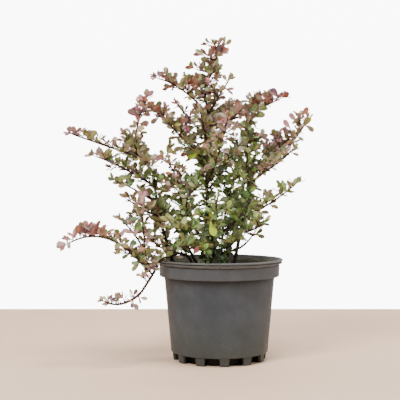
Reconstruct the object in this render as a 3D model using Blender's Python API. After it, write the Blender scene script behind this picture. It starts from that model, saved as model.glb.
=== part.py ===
# Japanese barberry in a nursery pot: pot, compost, woody limbs and open sprays of leaves.
# The pot stands on z = 0 with its axis on the origin, and the front of the plant faces -Y.
import math
import random

import bmesh
import bpy
import numpy as np
from mathutils import Matrix, Vector
from mathutils.bvhtree import BVHTree

# Clearance between pieces that touch on the real plant.
GAP = 0.0003

# Pot: a stepped, tapering nursery container on a ring of feet.
POT_SIDES = 30
POT_HEIGHT = 0.150
POT_LIP_R = 0.095
POT_COLLAR_R = 0.0895
POT_COLLAR_Z = 0.1245
POT_WALL_TOP_R = 0.0825
POT_WALL_FOOT_R = 0.0722
POT_WALL = 0.0022
POT_FLOOR_R = 0.058
POT_FLOOR = 0.0025
POT_FOOT_Z = 0.0122
POT_FOOT_R = 0.0697
POT_FEET = 12
FOOT_TURN = math.radians(5.0)
FOOT_HALF = math.radians(6.0)

# Compost fills the pot to just above the step.
COMPOST_TOP = 0.127

# Leaf of the solid model: larger than life, so that fewer fill the crown.
LEAF_LENGTH = 0.022
LEAF_WIDTH = 0.0140
LEAF_THICK = 0.0009
LEAF_SINK = 0.0006
TWIG_R = 0.0008
TWIG_TIP_R = 0.00045
SPRAY_R = 0.0010
SPRAY_SWELL = 0.006
GOLDEN = math.radians(137.5)
TERRITORY = 0.0022
LIMB_CLEAR = 0.0006
LIMB_SIDES = 6

# How far a facet of a bowed limb may lie off its curve.
LIMB_SAG = 0.00035

# Limbs: what each springs from (a foot in the compost, or a share along another limb),
# its tip (across, deep, high), how far its middle bows off the straight, and its two radii.
LIMBS = {
    "centre_stem": ((-0.010, 0.000), (-0.020, 0.000, 0.309), (-0.002, 0.000, 0.000), 0.0042, 0.0024),
    "centre_leader": (("centre_stem", 1.0), (-0.018, 0.004, 0.374), (0.005, 0.002, -0.002), 0.0024, 0.0016),
    "right_stem": ((0.020, 0.002), (0.049, 0.005, 0.263), (-0.001, -0.002, 0.003), 0.0028, 0.0022),
    "right_leader": (("right_stem", 1.0), (0.069, 0.010, 0.289), (0.000, 0.000, -0.002), 0.0022, 0.0018),
    "left_stem": ((-0.063, 0.000), (-0.098, -0.020, 0.277), (-0.005, 0.000, -0.003), 0.0028, 0.0022),
    "left_fork": (("left_stem", 1.0), (-0.123, -0.025, 0.308), (0.000, 0.000, 0.003), 0.0022, 0.0018),
    "low_limb": ((-0.036, -0.020), (-0.088, -0.058, 0.149), (0.009, 0.005, 0.021), 0.0021, 0.0017),
    "low_arm": (("low_limb", 1.0), (-0.112, -0.074, 0.108), (0.003, 0.001, 0.003), 0.0017, 0.0014),
    "low_upright": (("low_arm", 0.48), (-0.108, -0.066, 0.180), (-0.002, 0.000, -0.002), 0.0015, 0.0012),
    "mid_left_stem": ((-0.024, -0.003), (-0.057, -0.034, 0.214), (-0.009, -0.002, 0.005), 0.0024, 0.0016),
    "inner_right": ((0.005, -0.012), (0.010, -0.018, 0.226), (-0.004, 0.000, 0.000), 0.0024, 0.0016),
    "front_stem": ((-0.010, -0.032), (-0.012, -0.068, 0.186), (0.002, 0.008, 0.004), 0.0022, 0.0015),
    "back_left": ((-0.018, 0.024), (-0.038, 0.060, 0.198), (0.004, -0.008, 0.004), 0.0026, 0.0017),
    "back_right": ((0.012, 0.026), (0.029, 0.066, 0.204), (-0.003, -0.009, 0.004), 0.0026, 0.0017),
}

# Sprays of leaves: the limb and share that each springs from, the tip of its stem, the bow of
# its middle, how far its side twigs reach and how many leaves it tries to carry.
SPRAYS = {
    "spray_low_tip": (("low_arm", 1.0), (-0.162, -0.090, 0.096), (0.000, 0.000, -0.009), 0.006, 6),
    "spray_low_side": (("low_limb", 0.94), (-0.140, -0.060, 0.162), (0.000, 0.000, 0.002), 0.016, 8),
    "spray_upright": (("low_upright", 1.0), (-0.112, -0.066, 0.236), (-0.001, 0.000, 0.000), 0.024, 12),
    "spray_upright_side": (("low_upright", 0.80), (-0.142, -0.050, 0.208), (0.000, 0.000, 0.004), 0.022, 10),
    "spray_reach": (("low_upright", 0.14), (-0.216, -0.090, 0.176), (0.000, 0.000, 0.027), 0.020, 18),
    "spray_left_top": (("left_fork", 1.0), (-0.108, -0.025, 0.386), (-0.005, 0.000, 0.000), 0.024, 15),
    "spray_left_arm": (("left_fork", 0.86), (-0.216, -0.036, 0.334), (0.000, 0.000, 0.000), 0.018, 15),
    "spray_second_arm": (("left_stem", 0.90), (-0.182, -0.038, 0.302), (0.000, 0.000, 0.003), 0.022, 14),
    "spray_left_side": (("left_stem", 0.74), (-0.152, -0.032, 0.266), (0.000, 0.000, 0.002), 0.020, 9),
    "spray_left_mid": (("left_stem", 0.60), (-0.134, -0.058, 0.240), (0.000, -0.004, -0.002), 0.030, 11),
    "spray_left_low": (("left_stem", 0.50), (-0.080, 0.046, 0.222), (-0.004, 0.000, -0.004), 0.034, 12),
    "spray_low_left": (("left_stem", 0.26), (-0.108, -0.036, 0.188), (0.000, 0.000, -0.003), 0.022, 9),
    "spray_left_fork": (("left_fork", 0.40), (-0.132, 0.040, 0.326), (-0.004, 0.000, -0.004), 0.032, 12),
    "spray_curl": (("mid_left_stem", 1.0), (-0.080, -0.050, 0.298), (0.008, 0.000, 0.006), 0.022, 13),
    "spray_mid": (("mid_left_stem", 0.88), (-0.042, -0.052, 0.260), (0.000, -0.004, 0.000), 0.026, 11),
    "spray_low_centre": (("mid_left_stem", 0.42), (-0.056, -0.084, 0.198), (0.000, -0.004, 0.004), 0.032, 12),
    "spray_centre_left": (("centre_stem", 0.94), (-0.097, -0.018, 0.370), (0.002, 0.000, -0.001), 0.024, 15),
    "spray_centre_back": (("centre_stem", 0.86), (-0.062, 0.052, 0.352), (0.000, -0.002, -0.004), 0.028, 14),
    "spray_leader_left": (("centre_leader", 0.40), (-0.062, 0.012, 0.380), (0.000, 0.000, -0.004), 0.022, 10),
    "spray_leader_front": (("centre_leader", 0.20), (-0.028, -0.052, 0.364), (0.000, 0.002, -0.004), 0.024, 10),
    "spray_upper_left": (("centre_leader", 0.96), (-0.092, -0.010, 0.418), (0.000, 0.000, 0.008), 0.020, 14),
    "spray_top": (("centre_leader", 1.0), (0.007, 0.005, 0.468), (-0.012, 0.000, -0.002), 0.024, 16),
    "spray_top_right": (("centre_leader", 0.90), (0.014, -0.018, 0.414), (-0.002, 0.000, 0.000), 0.024, 11),
    "spray_upper_right": (("centre_leader", 0.62), (0.090, -0.020, 0.387), (0.000, 0.000, -0.002), 0.024, 16),
    "spray_upper_back": (("centre_leader", 0.50), (0.022, 0.056, 0.388), (0.000, 0.002, -0.004), 0.030, 13),
    "spray_right_tip": (("right_leader", 1.0), (0.135, 0.024, 0.360), (0.004, 0.000, -0.005), 0.026, 15),
    "spray_right_side": (("right_leader", 0.70), (0.106, -0.030, 0.312), (0.000, -0.004, -0.004), 0.028, 11),
    "spray_right_back": (("right_leader", 0.40), (0.096, 0.070, 0.322), (0.000, 0.000, -0.006), 0.032, 13),
    "spray_right_upright": (("right_stem", 0.96), (0.048, -0.016, 0.364), (-0.006, -0.006, 0.000), 0.024, 13),
    "spray_right_low": (("right_stem", 0.62), (0.112, -0.030, 0.262), (0.000, 0.000, -0.004), 0.020, 13),
    "spray_right_stem": (("right_stem", 0.44), (0.062, -0.044, 0.204), (0.000, -0.004, -0.003), 0.022, 8),
    "spray_low_right": (("right_stem", 0.26), (0.058, 0.036, 0.192), (0.000, 0.000, -0.004), 0.024, 9),
    "spray_centre_right": (("centre_stem", 0.70), (0.036, 0.044, 0.330), (0.000, 0.000, -0.004), 0.028, 14),
    "spray_inner_right": (("inner_right", 1.0), (0.024, -0.030, 0.282), (0.000, 0.002, 0.000), 0.028, 13),
    "spray_low_front_right": (("inner_right", 0.40), (0.022, -0.074, 0.182), (0.000, 0.000, -0.004), 0.026, 10),
    "spray_low_front": (("front_stem", 0.50), (-0.054, -0.088, 0.172), (0.000, 0.000, 0.002), 0.024, 8),
    "spray_front": (("front_stem", 1.0), (-0.006, -0.116, 0.240), (0.000, 0.004, -0.006), 0.034, 13),
    "spray_front_right": (("inner_right", 0.66), (0.042, -0.104, 0.240), (0.000, 0.000, -0.006), 0.034, 13),
    "spray_back_left": (("back_left", 1.0), (-0.064, 0.112, 0.286), (0.000, 0.010, -0.004), 0.038, 14),
    "spray_low_back": (("back_left", 0.45), (-0.014, 0.098, 0.200), (0.000, 0.000, -0.006), 0.028, 10),
    "spray_back_right": (("back_right", 1.0), (0.050, 0.120, 0.294), (0.000, 0.010, -0.004), 0.038, 14),
    "spray_back_side": (("back_right", 0.55), (0.074, 0.076, 0.240), (0.000, 0.000, -0.006), 0.030, 10),
    "spray_back_upper": (("centre_stem", 0.80), (-0.005, 0.100, 0.384), (0.000, 0.004, -0.008), 0.032, 16),
    "spray_front_upper": (("centre_stem", 0.74), (0.010, -0.096, 0.354), (0.000, -0.004, -0.008), 0.030, 16),
}

# Sprays by their main colour; the rest are bronze.
GREEN_SPRAYS = (
    "spray_low_side",
    "spray_left_low",
    "spray_low_left",
    "spray_mid",
    "spray_low_centre",
    "spray_right_low",
    "spray_right_stem",
    "spray_low_right",
    "spray_centre_right",
    "spray_inner_right",
    "spray_low_front_right",
    "spray_low_front",
    "spray_front",
    "spray_front_right",
    "spray_back_left",
    "spray_low_back",
    "spray_back_right",
    "spray_back_side",
)
RED_SPRAYS = (
    "spray_low_tip",
    "spray_upright",
    "spray_upright_side",
    "spray_reach",
    "spray_left_top",
    "spray_left_arm",
    "spray_upper_left",
    "spray_top",
    "spray_top_right",
    "spray_upper_right",
    "spray_upper_back",
    "spray_right_tip",
)


def clear_scene():
    for obj in list(bpy.data.objects):
        bpy.data.objects.remove(obj, do_unlink=True)


def plain_material(name, colour, roughness):
    mat = bpy.data.materials.new(name)
    mat.use_nodes = True
    shader = mat.node_tree.nodes["Principled BSDF"]
    shader.inputs["Base Color"].default_value = (*colour, 1.0)
    shader.inputs["Roughness"].default_value = roughness
    return mat


def mesh_object(name, verts, faces, mat):
    mesh = bpy.data.meshes.new(name)
    mesh.from_pydata([tuple(v) for v in verts], [], faces)
    mesh.update()
    obj = bpy.data.objects.new(name, mesh)
    bpy.context.scene.collection.objects.link(obj)
    obj.data.materials.append(mat)
    return obj


def revolve(profile, sides, turn):
    # Closed solid of revolution: the profile starts and ends on the axis.
    verts = [Vector((0.0, 0.0, profile[0][1]))]
    rings = profile[1:-1]
    for radius, height in rings:
        for k in range(sides):
            angle = turn + 2.0 * math.pi * k / sides
            verts.append(Vector((radius * math.cos(angle), radius * math.sin(angle), height)))
    verts.append(Vector((0.0, 0.0, profile[-1][1])))
    last = len(verts) - 1
    faces = []
    for k in range(sides):
        n = (k + 1) % sides
        faces.append((0, 1 + n, 1 + k))
        top = 1 + (len(rings) - 1) * sides
        faces.append((last, top + k, top + n))
        for r in range(len(rings) - 1):
            a = 1 + r * sides
            b = a + sides
            faces.append((a + k, a + n, b + n, b + k))
    return verts, faces


def wall_radius(height):
    share = (height - POT_FOOT_Z) / (POT_COLLAR_Z - POT_FOOT_Z)
    return POT_WALL_FOOT_R + (POT_WALL_TOP_R - POT_WALL_FOOT_R) * share


def apply_union(obj, cutters, solver):
    # Joins every object of a collection to this one and removes them.
    group = bpy.data.collections.new(obj.name + "_parts")
    bpy.context.scene.collection.children.link(group)
    for part in cutters:
        for owner in list(part.users_collection):
            owner.objects.unlink(part)
        group.objects.link(part)
    modifier = obj.modifiers.new("join", "BOOLEAN")
    modifier.operation = "UNION"
    modifier.operand_type = "COLLECTION"
    modifier.collection = group
    modifier.solver = solver
    graph = bpy.context.evaluated_depsgraph_get()
    joined = bpy.data.meshes.new_from_object(obj.evaluated_get(graph))
    obj.modifiers.remove(modifier)
    old = obj.data
    obj.data = joined
    bpy.data.meshes.remove(old)
    for part in list(group.objects):
        bpy.data.objects.remove(part, do_unlink=True)
    bpy.data.collections.remove(group)


def drop_scrap(obj):
    # Keeps the largest connected body of a mesh.
    work = bmesh.new()
    work.from_mesh(obj.data)
    unseen = set(work.verts)
    islands = []
    while unseen:
        edge = [unseen.pop()]
        island = list(edge)
        while edge:
            vert = edge.pop()
            for link in vert.link_edges:
                other = link.other_vert(vert)
                if other in unseen:
                    unseen.remove(other)
                    edge.append(other)
                    island.append(other)
        islands.append(island)
    islands.sort(key=len)
    loose = [vert for island in islands[:-1] for vert in island]
    bmesh.ops.delete(work, geom=loose, context="VERTS")
    work.to_mesh(obj.data)
    work.free()


def build_pot(mat):
    wall = POT_WALL
    step = POT_COLLAR_Z
    profile = [
        (0.0, 0.0),
        (POT_FLOOR_R, 0.0),
        (POT_FLOOR_R, POT_FOOT_Z),
        (POT_WALL_FOOT_R - 0.0015, POT_FOOT_Z),
        (wall_radius(POT_FOOT_Z + 0.002), POT_FOOT_Z + 0.002),
        (POT_WALL_TOP_R, step),
        (POT_COLLAR_R, step),
        (POT_COLLAR_R + 0.0005, 0.1410),
        (POT_COLLAR_R, 0.1424),
        (POT_LIP_R - 0.0020, 0.1432),
        (POT_LIP_R - 0.0010, 0.1452),
        (POT_LIP_R - 0.0025, 0.1466),
        (POT_LIP_R, 0.1476),
        (POT_LIP_R, 0.1492),
        (POT_LIP_R - 0.0012, POT_HEIGHT),
        (POT_LIP_R - 0.0040, POT_HEIGHT),
        (POT_COLLAR_R - wall, 0.1460),
        (POT_COLLAR_R - wall, step + wall),
        (POT_WALL_TOP_R - wall, step + wall),
        (wall_radius(POT_FOOT_Z + wall) - wall, POT_FOOT_Z + wall),
        (POT_FLOOR_R - wall, POT_FOOT_Z + wall),
        (POT_FLOOR_R - wall, POT_FLOOR),
        (0.0, POT_FLOOR),
    ]
    verts, faces = revolve(profile, POT_SIDES, FOOT_TURN)
    pot = mesh_object("pot", verts, faces, mat)
    feet = []
    half = FOOT_HALF
    for k in range(POT_FEET):
        mid = FOOT_TURN - math.pi / 2.0 + 2.0 * math.pi * k / POT_FEET
        corners = [
            (POT_FLOOR_R - 0.001, mid - half * 1.05),
            (POT_FOOT_R, mid - half),
            (POT_FOOT_R, mid + half),
            (POT_FLOOR_R - 0.001, mid + half * 1.05),
        ]
        ring = [(r * math.cos(a), r * math.sin(a)) for r, a in corners]
        low = [Vector((x, y, 0.0)) for x, y in ring]
        high = [Vector((x, y, POT_FOOT_Z + 0.001)) for x, y in ring]
        sides = [(i, (i + 1) % 4, 4 + (i + 1) % 4, 4 + i) for i in range(4)]
        feet.append(mesh_object("foot", low + high, [(3, 2, 1, 0), (4, 5, 6, 7), *sides], mat))
    apply_union(pot, feet, "EXACT")
    return pot


def build_compost(mat):
    inset = POT_WALL + GAP
    ledge = POT_FOOT_Z + POT_WALL + GAP
    step = POT_COLLAR_Z + POT_WALL - GAP
    profile = [
        (0.0, POT_FLOOR + GAP),
        (POT_FLOOR_R - inset, POT_FLOOR + GAP),
        (POT_FLOOR_R - inset, ledge),
        (wall_radius(ledge) - inset, ledge),
        (POT_WALL_TOP_R - inset, step),
        (POT_WALL_TOP_R - inset - 0.0005, COMPOST_TOP),
        (0.0, COMPOST_TOP),
    ]
    verts, faces = revolve(profile, POT_SIDES, FOOT_TURN)
    return mesh_object("compost", verts, faces, mat)


class Path:
    # A bowed centre line with a radius at each end.
    def __init__(self, base, tip, bow, r0, r1, count, first=None):
        self.base = base
        self.tip = tip
        self.mid = (base + tip) / 2.0 + bow * 2.0
        self.r0 = r0
        self.r1 = r1
        self.count = count
        self.first = first

    def point(self, t):
        a = (1.0 - t) * (1.0 - t)
        b = 2.0 * t * (1.0 - t)
        return self.base * a + self.mid * b + self.tip * (t * t)

    def tangent(self, t):
        side = (self.mid - self.base) * (1.0 - t) + (self.tip - self.mid) * t
        return side.normalized()

    def radius(self, t):
        return self.r0 + (self.r1 - self.r0) * t

    def length(self):
        steps = [self.point(k / 8) for k in range(9)]
        return sum((b - a).length for a, b in zip(steps, steps[1:]))

    def samples(self, pitch):
        n = max(2, math.ceil(self.length() / pitch))
        return [self.point(k / n) for k in range(n + 1)]


def tube(path, sides, grow=0.0):
    # Tapering tube along a path, its rings carried round without twist.
    stops = [k / (path.count - 1) for k in range(path.count)]
    verts = []
    side = None
    for t in stops:
        along = path.first if (t == 0.0 and path.first) else path.tangent(t)
        if side is None:
            side = along.orthogonal().normalized()
        side = (side - along * side.dot(along)).normalized()
        other = along.cross(side)
        radius = path.radius(t) + grow
        centre = path.point(t)
        for k in range(sides):
            angle = 2.0 * math.pi * k / sides
            verts.append(centre + (side * math.cos(angle) + other * math.sin(angle)) * radius)
    faces = [tuple(reversed(range(sides)))]
    for r in range(path.count - 1):
        for k in range(sides):
            n = (k + 1) % sides
            a = r * sides
            faces.append((a + k, a + n, a + sides + n, a + sides + k))
    last = (path.count - 1) * sides
    faces.append(tuple(last + k for k in range(sides)))
    return verts, faces


def spring(paths, source, tip, bow, radius):
    # Start point, and direction of the first ring where that is set, of what springs from a limb.
    parent, share = source
    limb = paths[parent]
    if share >= 1.0:
        along = limb.tangent(1.0)
        return limb.tip + along * GAP, along
    root = limb.point(share)
    along = limb.tangent(share)
    base = root
    for _ in range(3):
        start = ((base + tip) / 2.0 + bow * 2.0 - base).normalized()
        out = start - along * start.dot(along)
        out = out.normalized()
        lean = math.sqrt(max(0.0, 1.0 - out.dot(start) ** 2))
        base = root + out * (limb.radius(share) + GAP + radius * lean)
    return base, None


def limb_paths():
    paths = {}
    for name, (source, tip, bow, r0, r1) in LIMBS.items():
        tip = Vector(tip)
        bow = Vector(bow)
        if isinstance(source[0], str):
            base, first = spring(paths, source, tip, bow, r0)
        else:
            base = Vector((*source, COMPOST_TOP + GAP))
            first = Vector((0.0, 0.0, 1.0))
        bends = math.ceil(math.sqrt(bow.length / LIMB_SAG)) + 1
        count = max(4, round((tip - base).length / 0.025) + 1, bends)
        paths[name] = Path(base, tip, bow, r0, r1, count, first)
    return paths


def spray_paths(limbs):
    paths = {}
    for name, (source, tip, bow, _, _) in SPRAYS.items():
        tip = Vector(tip)
        bow = Vector(bow)
        limb = limbs[source[0]]
        r0 = min(SPRAY_R + SPRAY_SWELL * (tip - limb.point(source[1])).length, limb.radius(source[1]))
        base, first = spring(limbs, source, tip, bow, r0)
        count = max(3, round((tip - base).length / 0.036) + 1)
        paths[name] = Path(base, tip, bow, r0, TWIG_R, count, first)
    return paths


def leaf_shape(base, along, face, length, width):
    # Low keel: narrow at the stalk, widest beyond the middle, flat beneath.
    side = along.cross(face).normalized()
    face = side.cross(along).normalized()
    wide = base + along * (length * 0.62)
    verts = [
        base,
        wide + side * (width / 2.0),
        base + along * length,
        wide - side * (width / 2.0),
        base + along * (length * 0.55) + face * LEAF_THICK,
    ]
    return verts, [(0, 1, 4), (1, 2, 4), (2, 3, 4), (3, 0, 4), (3, 2, 1, 0)]


def leaf_probes(verts):
    # Points spread over the leaf, used to test where it lies.
    probes = list(verts[:4])
    for a, b in ((0, 1), (1, 2), (2, 3), (3, 0), (0, 2), (1, 3)):
        probes.append((verts[a] + verts[b]) / 2.0)
    return probes


class Crown:
    # Knows every spray's stem and every limb, and says whether a piece may grow.
    def __init__(self, limbs, sprays):
        self.names = list(sprays)
        self.lines = {n: np.array([tuple(p) for p in sprays[n].samples(0.003)]) for n in self.names}
        self.others = {}
        for n in self.names:
            self.others[n] = np.concatenate([self.lines[m] for m in self.names if m != n])
        verts = []
        faces = []
        for limb in limbs.values():
            v, f = tube(limb, 6, LIMB_CLEAR)
            faces += [tuple(i + len(verts) for i in face) for face in f]
            verts += v
        self.limbs = BVHTree.FromPolygons(verts, faces)

    def in_territory(self, name, probes):
        pts = np.array([tuple(p) for p in probes])
        own = np.sqrt(((pts[:, None] - self.lines[name][None]) ** 2).sum(-1)).min(1)
        far = np.sqrt(((pts[:, None] - self.others[name][None]) ** 2).sum(-1)).min(1)
        return bool((far - own > TERRITORY).all())

    def clear_of_pot(self, probes):
        for p in probes:
            r = math.hypot(p.x, p.y)
            if p.z < POT_HEIGHT + 0.002 and POT_WALL_TOP_R - 0.006 < r < POT_LIP_R + 0.002:
                return False
            if p.z < COMPOST_TOP + 0.004 and r < POT_LIP_R + 0.002:
                return False
        return all(p.z > 0.060 for p in probes)

    def clear_of_limbs(self, verts, faces):
        return not self.limbs.overlap(BVHTree.FromPolygons(verts, faces))

    def allows(self, name, verts, faces, probes):
        if not self.clear_of_pot(probes):
            return False
        if not self.in_territory(name, probes):
            return False
        return self.clear_of_limbs(verts, faces)


def around(along, angle):
    side = along.orthogonal().normalized()
    return Matrix.Rotation(angle, 3, along) @ side


def side_twigs(rng, path, reach):
    # Short shoots that alternate round the stem, lean forward and turn up.
    count = max(2, round(path.length() / 0.021))
    twigs = []
    for k in range(count):
        t = 0.10 + 0.84 * (k + 0.5 * rng.random()) / count
        along = path.tangent(t)
        out = around(along, GOLDEN * k + rng.uniform(-0.4, 0.4))
        heading = (out * 0.85 + along * 0.45 + Vector((0.0, 0.0, 0.30))).normalized()
        span = reach * (0.55 + 0.45 * math.sin(math.pi * min(1.0, t + 0.15))) * rng.uniform(0.7, 1.05)
        base = path.point(t)
        twigs.append(Path(base, base + heading * span, Vector(), TWIG_R, TWIG_TIP_R, 2))
    return twigs


def leaf_nodes(rng, path, twigs):
    # Nodes along the stem and its twigs, a rosette at every tip, in a mixed order.
    nodes = [(twig, 0.97, 0.35) for twig in (path, *twigs)]
    nodes += [(twig, 0.93, 0.9) for twig in (path, *twigs)]
    nodes += [(twig, t, 1.0) for twig in twigs for t in (0.40, 0.68)]
    steps = max(3, round(path.length() / 0.008))
    nodes += [(path, 0.06 + 0.88 * k / steps, 1.0) for k in range(steps)]
    rng.shuffle(nodes)
    return nodes


def grow_spray(crown, name, path, reach, wanted):
    # The stem, its side twigs and its leaves, each kept only where it stays in its own space.
    rng = random.Random("barberry " + name)
    parts = []
    twigs = []
    for twig in side_twigs(rng, path, reach):
        verts, faces = tube(twig, 3)
        probes = [twig.point(k / 4) for k in range(5)]
        if crown.in_territory(name, probes) and crown.clear_of_pot(probes):
            if crown.clear_of_limbs(verts, faces):
                parts.append((verts, faces))
                twigs.append(twig)
    kept = []
    turn = rng.uniform(0.0, 6.28)
    for twig, t, spread in leaf_nodes(rng, path, twigs) * 2:
        if len(kept) >= wanted:
            break
        along = twig.tangent(t)
        turn += GOLDEN
        lean = rng.uniform(0.5, 0.9) * spread
        up = Vector((0.0, 0.0, 0.35))
        heading = (around(along, turn) * (0.35 + lean) + along * (1.1 - lean) + up).normalized()
        face = (Vector((0.0, 0.0, 1.0)) + Vector([rng.uniform(-0.9, 0.9) for _ in range(3)])).normalized()
        size = rng.uniform(0.80, 1.10)
        base = twig.point(t) - heading * LEAF_SINK
        verts, faces = leaf_shape(base, heading, face, LEAF_LENGTH * size, LEAF_WIDTH * size)
        leaf = BVHTree.FromPolygons(verts, faces)
        if any(leaf.overlap(other) for other in kept):
            continue
        if crown.allows(name, verts, faces, leaf_probes(verts)):
            parts.append((verts, faces))
            kept.append(leaf)
    return parts, len(kept)


def build_spray(crown, name, path, mat):
    parts, leaves = grow_spray(crown, name, path, SPRAYS[name][3], SPRAYS[name][4])
    stem = mesh_object(name, *tube(path, 4), mat)
    pieces = [mesh_object(name + "_piece", v, f, mat) for v, f in parts]
    apply_union(stem, pieces, "MANIFOLD")
    drop_scrap(stem)
    return leaves


def main():
    clear_scene()
    pot_mat = plain_material("pot_plastic", (0.10, 0.10, 0.105), 0.5)
    compost_mat = plain_material("compost", (0.045, 0.030, 0.020), 0.95)
    bark_mat = plain_material("bark", (0.085, 0.055, 0.045), 0.8)
    green = plain_material("foliage_green", (0.10, 0.16, 0.05), 0.5)
    bronze = plain_material("foliage_bronze", (0.20, 0.12, 0.06), 0.5)
    red = plain_material("foliage_red", (0.30, 0.08, 0.07), 0.5)
    build_pot(pot_mat)
    build_compost(compost_mat)
    limbs = limb_paths()
    for name, path in limbs.items():
        mesh_object(name, *tube(path, LIMB_SIDES), bark_mat)
    sprays = spray_paths(limbs)
    crown = Crown(limbs, sprays)
    total = 0
    for name, path in sprays.items():
        mat = green if name in GREEN_SPRAYS else red if name in RED_SPRAYS else bronze
        total += build_spray(crown, name, path, mat)
    print("leaves in all", total)


main()
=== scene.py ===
import copy
import math
import random

import bmesh
import bpy
import numpy as np
from mathutils import Matrix, Vector, noise
from mathutils.bvhtree import BVHTree


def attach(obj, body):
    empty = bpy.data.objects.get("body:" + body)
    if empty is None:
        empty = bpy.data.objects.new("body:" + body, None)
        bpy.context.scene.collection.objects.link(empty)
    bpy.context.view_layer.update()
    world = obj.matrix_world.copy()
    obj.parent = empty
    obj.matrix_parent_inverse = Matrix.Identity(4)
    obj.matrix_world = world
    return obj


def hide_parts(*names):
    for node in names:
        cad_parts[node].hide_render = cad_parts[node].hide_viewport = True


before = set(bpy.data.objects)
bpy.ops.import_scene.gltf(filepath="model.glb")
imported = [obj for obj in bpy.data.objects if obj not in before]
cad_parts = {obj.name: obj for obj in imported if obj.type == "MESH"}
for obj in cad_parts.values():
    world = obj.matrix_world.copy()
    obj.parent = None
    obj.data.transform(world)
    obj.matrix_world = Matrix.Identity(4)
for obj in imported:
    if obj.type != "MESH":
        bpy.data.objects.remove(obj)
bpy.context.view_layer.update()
print("frame loaded")

upward = Vector((0.0, 0.0, 1.0))
fullTurn = 6.28  # of a random angle


def addObject(name, data):
    obj = bpy.data.objects.new(name, data)
    bpy.context.scene.collection.objects.link(obj)
    return obj


def plug(socket, *values):
    # Each value is plain or a wire; a socket that joins takes several wires.
    for value in values:
        if isinstance(value, Wire):
            socket.id_data.links.new(value.socket, socket)
        else:
            socket.default_value = value


def feed(node, *values, **named):
    # Inputs by their place, or by name with _ for a space.
    for key, value in (*enumerate(values), *named.items()):
        socket = node.inputs[key if isinstance(key, int) else key.replace("_", " ")]
        plug(socket, *(value if isinstance(value, list) else [value]))


def addNode(tree, kind, settings=None, *values, **named):
    node = tree.nodes.new(kind)
    for key, value in (settings or {}).items():
        setattr(node, key, value)
    feed(node, *values, **named)
    return Wire(node)


def sums(what, a, b=0.0, clamp=False):
    tree = (a if isinstance(a, Wire) else b).node.id_data
    return addNode(tree, "ShaderNodeMath", dict(operation=what, use_clamp=clamp), a, b)


class Wire:
    # One output of a node. A sum written with it adds the nodes that work it out.
    def __init__(self, node, key=0):
        self.node = node
        self.socket = node.outputs[key]

    def __getitem__(self, key):
        return Wire(self.node, key)

    def __rsub__(self, other):
        return sums("SUBTRACT", other, self)

    def __abs__(self):
        return sums("ABSOLUTE", self)

    def ramp(self, start, end, low=0.0, high=1.0):
        ends = dict(From_Min=start, From_Max=end, To_Min=low, To_Max=high)
        return addNode(self.node.id_data, "ShaderNodeMapRange", Value=self, **ends)

    def mix(self, a, b):
        # Tone a where this is 0, tone b where it is 1.
        mixed = addNode(self.node.id_data, "ShaderNodeMix", dict(data_type="RGBA"), self)
        plug(mixed.node.inputs[6], a)
        plug(mixed.node.inputs[7], b)
        return mixed[2]


# What + - * ** < and > do between two wires, or a wire and a number.
signs = dict(add="ADD", sub="SUBTRACT", mul="MULTIPLY", pow="POWER", lt="LESS_THAN", gt="GREATER_THAN")
for word, what in signs.items():
    setattr(Wire, "__%s__" % word, lambda wire, other, what=what: sums(what, wire, other))


def newTree(name, kind, inputs, outputs):
    # Each socket has a starting value, or the kind of a socket that has none.
    tree = bpy.data.node_groups.new(name, kind)
    kinds = {int: "Int", float: "Float", tuple: "Color"}
    for way, sockets in (("INPUT", inputs), ("OUTPUT", outputs)):
        for label, value in sockets.items():
            kind = kinds.get(type(value), value)
            socket = tree.interface.new_socket(name=label, in_out=way, socket_type="NodeSocket" + kind)
            if kind != value:
                socket.default_value = value
    return tree, Wire(tree.nodes.new("NodeGroupInput")), tree.nodes.new("NodeGroupOutput")


def plainMaterial(name, tone, rough):
    mat = bpy.data.materials.new(name)
    mat.use_nodes = True
    surface = mat.node_tree.nodes["Principled BSDF"]
    feed(surface, Base_Color=tone, Roughness=rough)
    return mat, mat.node_tree, surface


# Camera: a little above the middle of the stems, a long lens from the front.
view = {"place": (-0.029, -1.35, 0.254), "pitch": -0.70, "lens": 81.2, "sensor": 36.0}

# Soft studio: a pale floor that turns up into a pale wall, big lamps and an even sky.
# Each lamp: place, aim, width, power, tone.
studio = {
    "floorTone": (0.84, 0.60, 0.42, 1.0),
    "floorEnds": (-5.0, 6.0),
    "wallTone": (0.82, 0.825, 0.83, 1.0),
    "wallGlow": 10.0,
    "wallAt": 0.56,
    "wallTop": 5.0,
    "halfWidth": 6.0,
    "bend": 0.05,
    "bendSteps": 8,
    "floorSteps": 3,
    "skyTone": (0.95, 0.97, 1.0, 1.0),
    "skyPower": 0.48,
    "lamps": {
        "windowLamp": ((-1.1, -1.5, 1.9), (0.0, 0.0, 0.25), 0.7, 54.0, (1.0, 0.98, 0.95)),
        "fillLamp": ((1.7, -0.5, 0.9), (0.0, 0.0, 0.22), 1.2, 14.0, (1.0, 0.95, 0.90)),
        "topLamp": ((0.2, -0.5, 2.1), (0.0, 0.0, 0.25), 0.6, 32.0, (1.0, 1.0, 1.0)),
    },
}


def setCamera():
    lens = bpy.data.cameras.new("photoCamera")
    lens.lens = view["lens"]
    lens.sensor_width = view["sensor"]
    camera = addObject("photoCamera", lens)
    camera.location = view["place"]
    camera.rotation_euler = (math.radians(90.0 + view["pitch"]), 0.0, 0.0)
    bpy.context.scene.camera = camera


def aimLamp(name, place, target, size, power, tone):
    lamp = bpy.data.lights.new(name, "AREA")
    lamp.shape = "DISK"
    lamp.size = size
    lamp.energy = power
    lamp.color = tone
    holder = addObject(name, lamp)
    holder.location = place
    aim = Vector(target) - Vector(place)
    holder.rotation_euler = aim.to_track_quat("-Z", "Y").to_euler()


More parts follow.
